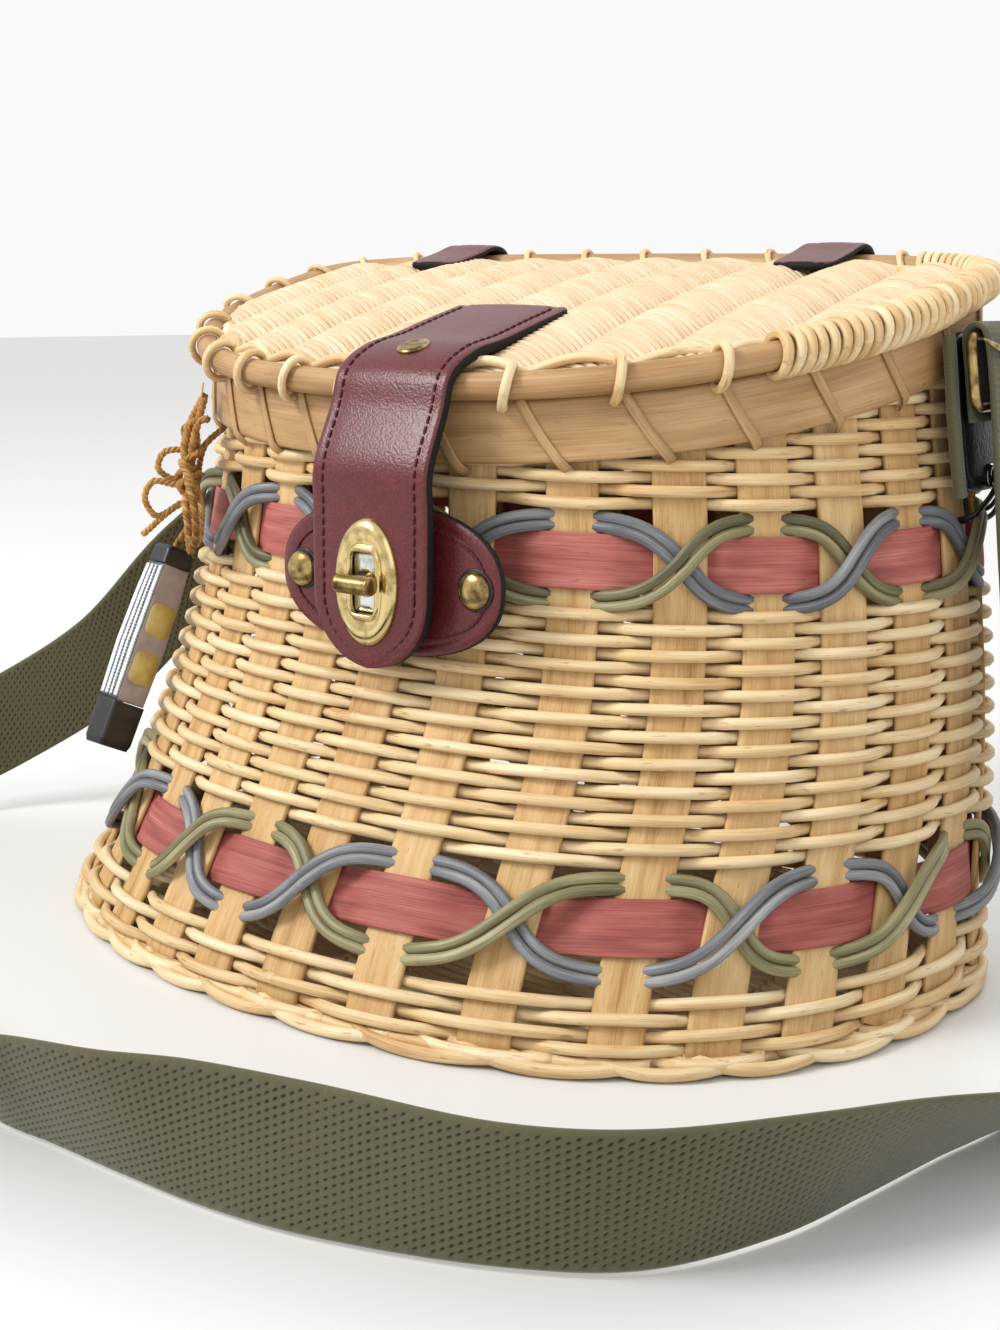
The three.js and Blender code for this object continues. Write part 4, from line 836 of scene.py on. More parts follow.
xAxis, yAxis, zAxis = np.eye(3)
lockTab = {
    "roundness": 2.3, "stitchIn": 5.4, "stitches": 66, "stitchLength": 2.2, "frontRows": 8,
    "rows": [
        (0.02, 2.9), (0.3, 2.95), (0.6, 2.9), (0.78, 2.8), (0.84, 2.75), (0.86, 2.45), (0.88, 2.75), (0.94, 2.6),
        (0.985, 2.2), (1.0, 1.5), (0.995, 0.3), (0.95, 0.0), (0.02, 0.0),
    ],
}
low, high = solidBox("lock_tab")
tabCentre = np.array([lockX, high[1], lockHeight])
tabHalf = (high - low)[[0, 2]] / 2
mesh = plate(tabCentre, xAxis, zAxis, (*tabHalf, lockTab["roundness"]), lockTab["rows"])
onBack = np.repeat(np.arange(len(lockTab["rows"]) - 1) >= lockTab["frontRows"], 72)
addPiece("lock_tab_leather", [mesh], [maroonLeather, cutEdgeAndShadow], ["lock_tab"],
         materialOf=np.concatenate([onBack, [0, 1]]))
angle = np.arange(lockTab["stitches"]) / lockTab["stitches"] * 2 * np.pi
x, z = superEllipse(*(tabHalf - lockTab["stitchIn"]), lockTab["roundness"], angle)
spots = tabCentre + np.stack([x, 0 * x - 2.75, z], -1)
ahead = unit(np.roll(spots, -1, 0) - np.roll(spots, 1, 0))
seam = stitches(spots, ahead, np.broadcast_to(-yAxis, spots.shape), lockTab["stitchLength"], 151)
addPiece("lock_tab_stitching", [seam], [redThread])

# Hinge straps: from the lid, over the back of the rod and down the rim
hinge = {
    "widthShare": 0.82, "thickness": 2.4, "inset": 3.5, "pad": 0.3, "corner": 4,
    "onLid": [(-28, 6.3), (-11, 6.6), (0, 6.9)],  # back from the rod and up from it, along the lid
    "behind": [(4.9, 4.9), (6.9, -0.3), (4.5, -11), (2.6, -24)],  # the same, level and upright
}


# A strip along a smooth line: over the lid, round the rod at this strap's x, and down behind it.
def hingeStrap(name):
    low, high = solidBox("hinge_tab_" + name)
    halfWidth = (high[0] - low[0]) / 2 * hinge["widthShare"]
    rods = lidLine(np.linspace(0.35, 0.65, 400))
    rod = rods[np.argmin(np.abs(rods[:, 0] - (low[0] + high[0]) / 2))]
    back = (rod - lidOrigin) @ rimBack
    line = [lidOrigin + rimBack * (back + along) + rimUp * up for along, up in hinge["onLid"]]
    line = np.array(line + [rod + (0, along, up) for along, up in hinge["behind"]])
    line[:, 0] = (low[0] + high[0]) / 2
    path = smoothPath(line, 60)
    length = pathLengths(path)[-1]

    def halfAt(s):  # slightly drawn in at both ends, as a cut corner
        corner = np.clip(1 - np.minimum(s, length - s) / hinge["corner"], 0, 1)
        return halfWidth * np.sqrt(1 - corner ** 2 * 0.25)

    strip = Strip(path, np.array([[-1.0, 0, 0]]), hinge["thickness"], halfAt, hinge["inset"], hinge["pad"])
    return strip.surface(np.linspace(0, length, 50), 15, 5)


for name in ("left", "right"):
    mesh, which = hingeStrap(name)
    addPiece("hinge_strap_" + name, [mesh], [maroonLeather, cutEdgeAndShadow], ["hinge_tab_" + name],
             materialOf=which)
print("leather made")


# Metal fittings
# Plated metal: clear reflections where it is rubbed, browner and duller in the patches that hands miss,
# which are about 4 mm across; roughness rises by 0.22 with the patches.
def metalMaterial(name, bright, dull, roughness, patina):
    material, tree, shader = newMaterial(name, Metallic=1.0, Roughness=roughness)
    place = {"Vector": addNode(tree, "ShaderNodeTexCoord").outputs["Object"]}
    patches = addNode(tree, "ShaderNodeTexNoise", {"Scale": 260.0, "Detail": 5.0}, place).outputs["Fac"]
    ramp = addNode(tree, "ShaderNodeValToRGB", None, {"Fac": patches})
    setStops(ramp, [(patina, bright), (patina + 0.25, dull)])
    span = {"From Min": 0.35, "From Max": 0.75, "To Min": roughness, "To Max": roughness + 0.22}
    rough = addNode(tree, "ShaderNodeMapRange", span, {"Value": patches})
    plug(tree, shader, Base_Color=ramp.outputs["Color"], Roughness=rough.outputs[0])
    return material


polishedBrass = metalMaterial("polished_brass_plate", "#d3bd86", "#8d7440", 0.14, 0.52)
antiqueBrass = metalMaterial("antique_brass", "#b49c66", "#5f4a2a", 0.24, 0.42)
nickel = metalMaterial("polished_nickel", "#cfcfcb", "#8c8b86", 0.12, 0.55)


# Turned part: circles of radius r at height h along its axis, their ends closed flat or joined as a ring.
def lathe(centre, axis, profile, sides=36, ring=False):
    axis = unit(np.asarray(axis, float))
    right = unit(np.cross(axis, (0.3, 0.5, 0.81)))
    up = np.cross(axis, right)
    a = np.arange(sides) / sides * 2 * np.pi
    radius, height = np.array(profile, float).T[:, :, None]
    points = (np.asarray(centre, float) + (radius * np.cos(a))[..., None] * right
              + (radius * np.sin(a))[..., None] * up + (height + 0 * a)[..., None] * axis)
    caps = [] if ring else [cap[::-1] for cap in capFaces(len(profile), sides)]
    return points, gridFaces(len(profile), sides, ring, True)[:, ::-1].tolist() + caps


def dome(radius, height):  # a straight foot, then height*(0.25 + 0.75*sin(a)) at radius*cos(a)
    angles = np.linspace(0, np.pi / 2, 9)
    curve = [(radius * math.cos(a) + 0.02, height * (0.25 + 0.75 * math.sin(a))) for a in angles]
    return [(radius * 0.96, 0.0), (radius + 0.02, height * 0.12)] + curve


lock = {
    "plate": (12.1, 19.6, 2.0), "opening": (4.7, 9.3, 7.0),  # half width, half height, roundness
    "plateRows": [
        (0.0, 0.2), (0.0, 2.2), (0.03, 2.75), (0.16, 2.85), (0.2, 2.2), (0.24, 1.95), (0.36, 2.35), (0.55, 2.65),
        (0.72, 2.5), (0.86, 1.95), (0.95, 1.2), (1.0, 0.45), (0.99, 0.0), (0.5, 0.05),
    ],
    "square": (4.6, 3.9, 9.0), "squareAt": 5.2,
    "squareRows": [(0.02, 0.9), (0.9, 0.9), (1.0, 0.5), (1.0, 0), (0.02, 0)],
    "collar": [(7.9, 0), (8.0, 0.9), (7.6, 1.2), (3.6, 1.3), (3.4, 1.6)], "neck": 3.4,
    "knobAxis": 2.9, "knurl": 0.32, "knobEnd": [(2.9, 6.3), (2.6, 6.8), (1.9, 7.0)], "post": 1.9,
    "dome": 5.6, "seat": [(6.4, -0.1), (6.5, 0.25), (6.2, 0.4), (4.0, 0.45)],
    "cap": [(4.9, -0.6), (5.2, -0.1), (5.0, 0.3), (4.2, 0.62), (3.0, 0.6), (2.6, 0.38), (0.4, 0.35)], "capAt": 0.33,
}
frontAxis = (0, -1, 0)
plateCentre = np.array([lockX, plateHigh[1], lockHeight])
lockPlate = plate(plateCentre, xAxis, zAxis, lock["plate"], lock["plateRows"], 96, lock["opening"])
addPiece("lock_plate_brass", [lockPlate], [polishedBrass], ["lock_plate"])
low, high = solidBox("lock_base")
deep = high[1] - low[1]
collar = lathe((lockX, high[1], lockHeight), frontAxis,
               lock["collar"] + [(lock["neck"], deep - 0.4), (lock["neck"] - 0.4, deep)], 32)
addPiece("lock_base_brass", [collar], [antiqueBrass], ["lock_base"])
squares = [plate(plateCentre + zAxis * z - yAxis * 0.1, xAxis, zAxis, lock["square"], lock["squareRows"], 32)
           for z in (lock["squareAt"], -lock["squareAt"])]
addPiece("lock_bright_squares", squares, [nickel])

# Turn knob: a knurled bar on a post, radius 2.95 less the knurl at every second step
low, high = solidBox("turn_knob")
knobCentre = np.array([(low[0] + high[0]) / 2, low[1] + lock["knobAxis"], lockHeight])
barEnd = [(radius, -along) for radius, along in lock["knobEnd"][::-1]]
grooves = [(2.95 - lock["knurl"] * (i % 2), along) for i, along in enumerate(np.arange(-5.6, 5.7, 0.35))]
bar = lathe(knobCentre, xAxis, barEnd + [(2.9, -5.9)] + grooves + [(2.9, 5.95)] + lock["knobEnd"])
postRows = [(lock["post"], 0), (lock["post"], high[1] - low[1] - 3)]
post = lathe((knobCentre[0], high[1], lockHeight), frontAxis, postRows, 20)
addPiece("turn_knob_brass", [bar, post], [antiqueBrass], ["turn_knob"], "knob")

for name in ("left", "right"):
    low, high = solidBox("lock_rivet_" + name)
    place = ((low[0] + high[0]) / 2, high[1], (low[2] + high[2]) / 2)
    head = lathe(place, frontAxis, dome(lock["dome"], high[1] - low[1] + 0.4))
    addPiece("dome_rivet_" + name, [head], [antiqueBrass], ["lock_rivet_" + name])
    addPiece("rivet_seat_" + name, [lathe(place, frontAxis, lock["seat"])], [blackLeather])

capIndex = np.searchsorted(closureStrip.lengths, closureStrip.lengths[-1] * lock["capAt"])
capFace = closureStrip.face[capIndex]
cap = lathe(closureStrip.path[capIndex] + capFace * (closure["thickness"] / 2 + 0.9), capFace, lock["cap"])
addPiece("strap_rivet_brass", [cap], [antiqueBrass], ["closure_rivet"])
print("metal fittings made")

# Side fittings, mirrored from right to left; eyelets and prong in shares of the tab's and the buckle's sizes
flank = {
    "alongFront": 72.0, "foot": 156.0, "top": 206.0, "width": 40.0, "standoff": 5.8, "thickness": 2.5,
    "tabRows": [
        (0.02, 2.5), (0.5, 2.55), (0.84, 2.5), (0.87, 2.25), (0.9, 2.5), (0.97, 2.3), (1.0, 1.6), (1.0, 0.5),
        (0.97, 0.0), (0.02, 0.0),
    ],
    "eyelets": [(0.0, 0.16), (0.03, -0.42), (0.3, -0.4)],
    "eyeletRing": [(4.0, -0.1), (4.25, 0.0), (4.2, 0.3), (3.6, 0.9), (2.9, 1.0), (2.2, 0.5), (2.0, -0.6)],
    "buckleOut": 14.0, "buckleRise": 12.0, "buckleHeight": 22.0, "wire": 1.6, "corner": 4.0,
    "prong": [(-0.74, 0.42), (0.0, 0.09), (0.63, -0.27)], "prongOut": 6.5,
    "ties": [(0.03, 1.0, -7.0), (0.3, 1.1, -3.0), (0.16, 0.85, 4.0)],  # place along the tab, length, lean
    "tieLine": [(6.5, 0.5), (10.6, -1.5), (9.6, -5.0), (6.6, -9.0), (3.8, -12.0), (-3.0, -13.5)],  # out, up
}
sideMiddle = (flank["foot"] + flank["top"]) / 2
sideHeight = flank["top"] - flank["foot"]
sideLevels = (flank["foot"], sideMiddle, flank["top"])
lowWidth, middleWidth, highWidth = (np.interp(z, levels, columns[0]) for z in sideLevels)
sideUp = unit(np.array([highWidth - lowWidth, 0, sideHeight]))
sideOut = np.array([sideUp[2], 0, -sideUp[0]])


def sidePoint(sign, out, along, up):  # off the side wall, along it towards the back and up it
    out, along, up = np.broadcast_arrays(out, along, up)
    p = np.array([middleWidth, flank["alongFront"], sideMiddle]) + out[..., None] * sideOut + up[..., None] * sideUp
    p[..., 1] += along
    p[..., 0] *= sign
    return p


def roundedRun(width, height, corner, count):  # rounded rectangle, evenly stepped
    a = np.linspace(0, np.pi / 2, 7)
    run = [np.stack([sx * (width / 2 - corner) + corner * np.cos(a + start),
                     sz * (height / 2 - corner) + corner * np.sin(a + start), 0 * a], -1)
           for sx, sz, start in ((1, 1, 0), (-1, 1, np.pi / 2), (-1, -1, np.pi), (1, -1, 3 * np.pi / 2))]
    return evenPath(np.vstack(run + [run[0][:1]]), count + 1)[:-1, :2]


# Open-knit cotton webbing: dull olive threads with hairs under a millimetre, patches of wear about 20 mm wide,
# and small holes painted nearly black as painted shade, which the tone of the mesh marks.
def webbingMaterial(name, thread, holeShade, pale):
    material, tree, shader = newMaterial(name, Roughness=0.9, Sheen_Weight=0.25, Sheen_Roughness=0.5)
    tone = addNode(tree, "ShaderNodeAttribute", attribute_name="tone")
    place = {"Vector": addNode(tree, "ShaderNodeTexCoord").outputs["Object"]}
    fuzz = addNode(tree, "ShaderNodeTexNoise", {"Scale": 1400.0, "Detail": 3.0}, place).outputs["Fac"]
    wear = addNode(tree, "ShaderNodeTexNoise", {"Scale": 45.0, "Detail": 2.0}, place).outputs["Fac"]
    mixed = tone.outputs["Fac"]
    for layer in (fuzz, wear):
        mixed = addNode(tree, "ShaderNodeMath", {1: 0.3}, {0: layer, 2: mixed}, operation="MULTIPLY_ADD").outputs[0]
    ramp = addNode(tree, "ShaderNodeValToRGB", None, {"Fac": mixed})
    setStops(ramp, [(0.14, holeShade), (0.42, thread), (0.78, thread), (1.0, pale)])
    bump = addNode(tree, "ShaderNodeBump", {"Strength": 0.4, "Distance": 0.0003}, {"Height": fuzz})
    plug(tree, shader, Base_Color=ramp.outputs["Color"], Normal=bump.outputs[0])
    return material


webbing = webbingMaterial("open_knit_olive_cotton_webbing", "#524e33", "#17150c", "#696346")


# Knit ribbon: points half a stitch apart, one in four sunk as a hole and each row of holes set half a stitch over,
# point = centre + across*w + face*(thickness/2 + relief, or less where the hole is); the selvedge is smooth.
def knitRibbon(path, acrossAt, width, thickness, pitch, relief):
    count = int(pathLengths(path)[-1] / (pitch / 2))
    even = evenPath(np.column_stack([path, acrossAt]), count)
    centre, across = even[:, :3], even[:, 3:]
    along = unit(np.gradient(centre, axis=0))
    across = unit(across - along * (across * along).sum(-1, keepdims=True))
    face = np.cross(along, across)
    wide = int(round(width / (pitch / 2))) + 1
    v = np.linspace(-1, 1, wide)
    w = np.concatenate([v, v[::-1]]) * width / 2
    up = np.repeat([1.0, -1.0], wide)
    i, j = np.meshgrid(np.arange(count), np.concatenate([np.arange(wide), np.arange(wide)[::-1]]), indexing="ij")
    fromEdge = np.minimum(j, wide - 1 - j)
    inside = fromEdge > 1
    hole = (i % 2 == 0) & ((j + i // 2) % 2 == 0) & inside
    lift = thickness / 2 * np.where(fromEdge == 0, 0.45, 1.0)
    lift = up * (lift + relief * np.where(hole, -1.6, 0.5) * inside + 0.15 * (fromEdge == 1))
    points = centre[:, None] + across[:, None] * w[None, :, None] + face[:, None] * lift[..., None]
    # tone: holes painted dark as painted shade, and the odd rows a little lower in tone for the knit's lines
    tone = np.where(hole, -0.3, np.where(i % 2 == 0, 0.5, 0.32))
    faces = gridFaces(count, 2 * wide, False, True).tolist() + capFaces(count, 2 * wide)
    return points, faces, None, tone


strap = {
    "width": 38.0, "thickness": 2.0, "knitPitch": 2.2,
    # side, front and rise in shares of the basket's sizes, then the direction of the upper or outer edge
    "rows": [
        (1.006, 0.66, 0.69, 0.05, 1, 0), (1.08, 0.62, 0.54, 0.35, 0.93, 0.1), (1.2, 0.5, 0.35, 0.7, 0.7, 0.1),
        (1.32, 0.27, 0.17, 0.93, 0.35, 0.12), (1.385, -0.02, 0.075, 0.93, 0, 0.36),
        (1.376, -0.42, 0.057, 0.78, -0.2, 0.55), (1.324, -0.66, 0.07, 0.69, -0.14, 0.71),
        (1.262, -0.94, 0.084, 0.5, -0.1, 0.86), (1.197, -1.2, 0.092, 0.31, -0.1, 0.945),
        (1.064, -1.51, 0.096, 0.12, -0.12, 0.985), (0.896, -1.675, 0.096, 0.07, -0.12, 0.99),
        (0.608, -1.804, 0.097, 0, 0.03, 1), (0.434, -1.86, 0.097, 0, -0.05, 1), (0.295, -1.9, 0.094, 0, -0.24, 0.97),
        (0.12, -1.925, 0.09, 0, -0.39, 0.92), (-0.042, -1.95, 0.082, -0.05, -0.55, 0.83),
        (-0.37, -1.81, 0.088, -0.1, -0.45, 0.88), (-0.8, -1.65, 0.09, -0.25, -0.35, 0.9),
        (-1.2, -1.33, 0.092, -0.35, -0.2, 0.91), (-1.48, -0.87, 0.095, -0.4, -0.05, 0.91),
        (-1.57, -0.44, 0.115, -0.42, -0.05, 0.9), (-1.494, -0.13, 0.175, -0.4, -0.15, 0.9),
        (-1.284, 0.18, 0.325, -0.4, -0.25, 0.88), (-1.14, 0.4, 0.51, -0.4, -0.6, 0.69),
        (-1.06, 0.58, 0.62, -0.25, -0.9, 0.3), (-1.006, 0.66, 0.7, -0.05, -1, 0),
    ],
    # the fold over the buckle's bar: out and up, in shares of its radius
    "fold": [(-1, -7.74), (-1, -2.58), (-1, 0), (-0.7, 0.7), (0, 1), (0.7, 0.7), (1, 0), (1.2, -3.87)],
}
strapHalf = strap["width"] / 2


# The webbing's fold round the wire: buckle middle + radius*(out, up), the radius to its mid thickness
def foldAt(sign):
    radius = flank["wire"] + 0.8 + strap["thickness"] / 2
    out, up = np.array(strap["fold"]).T * radius
    points = sidePoint(sign, flank["buckleOut"] + out, 0, flank["buckleRise"] + flank["buckleHeight"] / 2 + up)
    return np.column_stack([points, np.tile((0.0, sign, 0.0), (len(points), 1))])


middle = np.array(strap["rows"])
middle[:, :3] *= (basket["halfWidth"], basket["halfDepth"], basket["height"])
middle[:, 3:] = unit(middle[:, 3:])
strapLine = smoothPath(np.vstack([foldAt(1), middle, foldAt(-1)[::-1]]), 900)
strapLine[:, 3:] = unit(strapLine[:, 3:])
lowest = np.abs(strapLine[:, 5]) * strapHalf + strap["thickness"] / 2 + 0.45  # keeps its lower edge off the floor
strapLine[:, 2] = np.maximum(strapLine[:, 2], lowest)
mesh = knitRibbon(strapLine[:, :3], strapLine[:, 3:], strap["width"], strap["thickness"] - 0.4,
                  strap["knitPitch"], 0.26)
addPiece("shoulder_strap_webbing", [mesh], [webbing], ["shoulder_strap"])
print("shoulder strap made:", round(pathLengths(strapLine)[-1]), "mm")

for name, sign in (("left", -1), ("right", 1)):
    outAxis = np.array([sideOut[0] * sign, 0, sideOut[2]])
    upAxis = np.array([sideUp[0] * sign, 0, sideUp[2]])
    rightAxis = np.cross(upAxis, outAxis)
    outline = (flank["width"] / 2, sideHeight / 2, 7.0)
    tab = plate(sidePoint(sign, flank["standoff"], 0, 0), rightAxis, upAxis, outline, flank["tabRows"], 96)
    addPiece("side_tab_leather_" + name, [tab], [blackLeather], ["side_tab_" + name])

    for i, (along, up) in enumerate(flank["eyelets"], 1):
        out = flank["standoff"] + flank["thickness"] + 0.2
        place = sidePoint(sign, out, along * flank["width"], up * sideHeight)
        solid = "eyelet_%s_%d" % (name, i)
        low, high = solidBox(solid)
        place[1] = (low[1] + high[1]) / 2
        eyelet = lathe(place, outAxis, flank["eyeletRing"], 28, True)
        addPiece("eyelet_nickel_%s_%d" % (name, i), [eyelet], [nickel], [solid])

    for edge, way in (("front", -1), ("back", 1)):  # narrow knit ribbon sewn over each edge of the tab
        solid = "side_binding_%s_%s" % (edge, name)
        low, high = solidBox(solid)
        up = np.linspace(-sideHeight / 2 - 1, sideHeight / 2 - 1, 46)
        along = (low[1] + high[1]) / 2 - flank["alongFront"] + 0.5 * np.sin(up * 0.12 + way)
        line = sidePoint(sign, flank["standoff"] + 1.6, along, up)
        binding = knitRibbon(line, np.tile(rightAxis, (len(line), 1)), 5.0, 2.6, 1.25, 0.12)
        addPiece("woven_binding_%s_%s" % (edge, name), [binding], [webbing], [solid])

    wire = flank["wire"]
    run = roundedRun(2 * (strapHalf + 1.6 + wire), flank["buckleHeight"], flank["corner"], 72)
    line = sidePoint(sign, flank["buckleOut"], run[:, 0], flank["buckleRise"] + run[:, 1])
    buckle = strands(line, outAxis, wire, wire, 12, True, 1, 160)
    addPiece("wire_buckle_" + name, [buckle], [antiqueBrass], ["buckle_" + name])

    along, up = np.array(flank["prong"]).T * np.array([[strap["width"]], [flank["buckleHeight"]]])
    line = smoothPath(sidePoint(sign, flank["buckleOut"] + flank["prongOut"], along, flank["buckleRise"] + up), 30)
    radius = 1.1 * np.clip(np.linspace(0.35, 4, 30), 0, 1) * np.clip(np.linspace(5, 0.8, 30), 0, 1)
    prong = strands(line, outAxis, radius, radius, 10, seed=161)
    addPiece("buckle_prong_brass_" + name, [prong], [antiqueBrass], ["buckle_prong_" + name])

    # dark laces tie the tab down through its lower eyelets and round the weave below
    ties = []
    for start, length, lean in flank["ties"]:
        outs, ups = np.array(flank["tieLine"]).T
        along = start * flank["width"] + lean * np.linspace(0, 1, len(outs))
        line = smoothPath(sidePoint(sign, outs, along, ups * length - sideHeight * 0.42), 26)
        ties.append(strands(line, outAxis, 1.5, 0.8, seed=162))
    addPiece("tab_ties_" + name, ties, [blackLeather])
print("side pieces made")

# Twine: dull brown jute, hairy and uneven, and one pale flat strand beside it
jute = fibreMaterial(
    "twisted_jute_twine", [(0.2, "#6b461c"), (0.42, "#9c6c31"), (0.62, "#bf8f50"), (0.85, "#dbb67c")],
    "#4d3013", 0.85, 0.0003, 0.003, 0.8, 0.5,
)
paleCane = fibreMaterial(
    "pale_raffia_strand", [(0.2, "#c8ab6c"), (0.6, "#e0cb95"), (0.9, "#efe1b8")], "#8a5a2c", 0.6, 0.0004, 0.01, 0.4,
)
twine = {
    "radius": 1.2, "lay": 5.5, "knotTurn": 0.877, "knotHeight": 150.0, "span": 20.0, "wrapRadius": 1.45,
    # each line: out from the wall, along it towards the front, and up, in shares of the span
    "bow": [
        (0.44, 0.05, 1), (0.46, 0.08, 0.5), (0.75, 0.1, 0.6), (1.03, 0.1, 0.55), (1.13, 0.1, 0.28), (0.86, 0.1, 0.08),
        (0.53, 0.06, 0.04), (0.63, 0.3, 0), (0.9, 0.32, 0.02), (1.26, 0.3, 0.08), (1.41, 0.28, -0.2),
        (1.22, 0.28, -0.52), (0.86, 0.28, -0.36), (0.59, 0.3, -0.2), (0.57, 0.62, -0.08), (0.57, 0.98, -0.36),
        (0.59, 0.86, -0.85), (0.59, 0.4, -1), (0.59, 0.06, -0.68), (0.68, -0.08, -0.36), (0.92, -0.12, -0.5),
        (1.39, -0.14, -0.9),
    ],
    "wraps": [  # turns that pull the knot tight, the doubled strand above it and the loops beside the big one
        [(0.3, 0.45, 1.15), (0.5, 0.3, 1.1), (0.66, 0.14, 0.95), (0.56, 0.0, 0.72), (0.4, 0.2, 0.6),
         (0.56, 0.42, 0.52), (0.7, 0.2, 0.4), (0.56, 0.0, 0.26), (0.42, 0.2, 0.12)],
        [(0.5, 0.3, 0.3), (0.72, 0.3, 0.26), (0.8, 0.12, 0.1), (0.66, -0.02, -0.02), (0.5, 0.2, -0.14),
         (0.7, 0.46, -0.16), (0.84, 0.5, 0.02), (0.66, 0.56, 0.16), (0.44, 0.4, 0.2)],
        [(0.52, 0.3, -0.1), (0.74, 0.7, 0.1), (0.8, 1.2, 0.0), (0.78, 1.42, -0.4), (0.74, 1.2, -0.85),
         (0.72, 0.76, -0.95), (0.7, 0.42, -0.6), (0.58, 0.3, -0.2)],
        [(0.5, 0.36, 0.1), (0.78, 0.72, -0.18), (0.86, 1.06, -0.34), (0.8, 1.0, -0.66), (0.76, 0.7, -0.66),
         (0.64, 0.4, -0.3)],
        [(0.56, 0.34, 0.2), (0.8, 0.6, 0.42), (0.86, 0.96, 0.4), (0.76, 1.14, 0.1), (0.66, 0.9, -0.12),
         (0.56, 0.5, 0.0)],
        [(0.34, 0.3, 1.5), (0.46, 0.32, 1.1), (0.58, 0.3, 0.6), (0.56, 0.2, 0.1)],
        [(0.34, 0.1, 1.45), (0.48, 0.1, 1.0), (0.6, 0.14, 0.5), (0.54, 0.1, 0.1)],
        [(0.3, 0.2, 1.55), (0.58, 0.2, 1.05), (0.7, 0.24, 0.6), (0.6, 0.2, 0.1)],
        [(0.54, 0.1, -0.1), (0.6, 0.02, -0.5), (0.6, -0.06, -0.95), (0.56, -0.1, -1.25)],
    ],
    "hanger": [(0.29, 0.02, 0.65), (0.42, -0.03, 0.1), (0.44, -0.3, -0.6)],
    "pale": [(0.36, 0.3, 1.75), (0.4, 0.2, 1.3), (0.46, 0.12, 0.9), (0.5, 0.16, 0.4)],
}
knotAt, _, knotOut = levelFrame(np.array(twine["knotTurn"]), twine["knotHeight"])
knotAlong = np.cross((0, 0, 1.0), knotOut)


def knotPoints(rows):  # knot middle + span*(out, along, up)
    return knotAt + (np.array(rows) * twine["span"]) @ np.stack([knotOut, knotAlong, zAxis])


# Three-ply twine: each ply winds round the centre line at about half its radius, one turn in each lay.
def twisted(line, radius, seed, plies=3):
    along = unit(np.gradient(line, axis=0))
    right = unit(np.cross(along, (0.31, 0.52, 0.79)))
    up = np.cross(right, along)
    turn = 2 * np.pi * pathLengths(line) / twine["lay"]
    made = []
    for ply in range(plies):
        a = (turn + 2 * np.pi * ply / plies)[:, None]
        away = right * np.cos(a) + up * np.sin(a)
        made.append(strands(line + away * radius * 0.48, away, radius * 0.56, radius * 0.56, 6, seed=seed + ply))
    return made


# Pendant: a serrated metal block between two black caps, hanging aslant
pendant = {
    "length": 76.0, "width": 11.5, "depth": 14.5, "cordInside": 30.0,
    "top": (0.853, 124.0, 10.5), "foot": (0.86, 59.0, 15.6),  # turn, height and distance off the wall
    # blocks: share of the way down, then share of the full section
    "capTop": [(0, 0.7), (0.02, 0.86), (0.09, 0.88)], "capFoot": [(0.78, 0.98), (0.97, 0.96), (1, 0.86)],
    "body": [(0.094, 0.86), (0.25, 0.94), (0.5, 1), (0.776, 0.92)],
    "ridges": [(-4.1, 1.0, 0.0), (-1.3, 1.05, 0.35), (1.3, 0.8, 0.35), (4.2, 1.1, 0.2)],  # place, half width, tooth
    "patchesAt": (0.36, 0.6), "patch": (5.6, 6.2, 4.5),
    "patchRows": [(0.02, 0.3), (0.9, 0.3), (1.0, 0.1), (1.0, -0.3), (0.02, -0.3)],
}


def offWall(turn, z, out):  # the wall's point at this turn and height, moved out level
    here, _, level = levelFrame(np.array(turn), z)
    return here + level * out


pendantTop = offWall(*pendant["top"])
pendantDown = unit(offWall(*pendant["foot"]) - pendantTop)
pendantSide = np.array([0.995, -0.1, 0])
pendantSide = unit(pendantSide - pendantDown * (pendantSide @ pendantDown))
pendantFront = np.cross(pendantDown, pendantSide)


def downPendant(share):  # top + down*share*length
    return pendantTop + pendantDown * (np.asarray(share) * pendant["length"])[..., None]


# Pendant block: rounded rectangles stacked down its length, their size following the rows given.
def pendantBlock(rows, corners=48):
    rows = np.array(rows)
    down = np.interp(np.linspace(0, len(rows) - 1, 40), np.arange(len(rows)), rows[:, 0])
    size = np.interp(down, rows[:, 0], rows[:, 1])[:, None]
    a = (np.arange(corners) + 0.5) / corners * 2 * np.pi
    x, y = superEllipse(pendant["width"] / 2, pendant["depth"] / 2, 9.0, a)
    points = (downPendant(down)[:, None] + pendantSide * (x * size)[..., None] + pendantFront * (y * size)[..., None])
    faces = gridFaces(40, corners, False, True)[:, ::-1].tolist() + [cap[::-1] for cap in capFaces(40, corners)]
    return points, faces


# Lengthwise ridges on the front face, their edges cut into small teeth.
def makeRidges():
    down = np.linspace(0.11, 0.76, 160)
    size = np.interp(down, *np.array(pendant["body"]).T)[:, None]
    front = pendantFront * (1 if pendantFront[1] < 0 else -1)
    made = []
    for across, halfWide, tooth in pendant["ridges"]:
        line = downPendant(down) + pendantSide * (across * size) + front * (pendant["depth"] / 2 * size + 0.1)
        wide = halfWide * size[:, 0] - tooth * (np.arange(160) // 2 % 2)
        made.append(strands(line, front, wide, 0.55, 8, False, 0.6, 200))
    return made


# Moulded black plastic: even, with a low gloss. Metal: bright where the teeth are filed; the body under and between
# the ridges is painted dark grey as painted shade in the gaps between them.
blackPlastic = cloudyMaterial("black_moulded_plastic", "#0e0e10", "#161618", 300.0, 0.4, Coat_Weight=0.15)
silverMetal = cloudyMaterial("serrated_silver_metal", "#eceeef", "#d2d5d8", 250.0, 0.3, Metallic=0.5)
shadedMetal = cloudyMaterial("painted_shade_grey_metal", "#6a6f79", "#4c5059", 400.0, 0.4, Metallic=0.6)
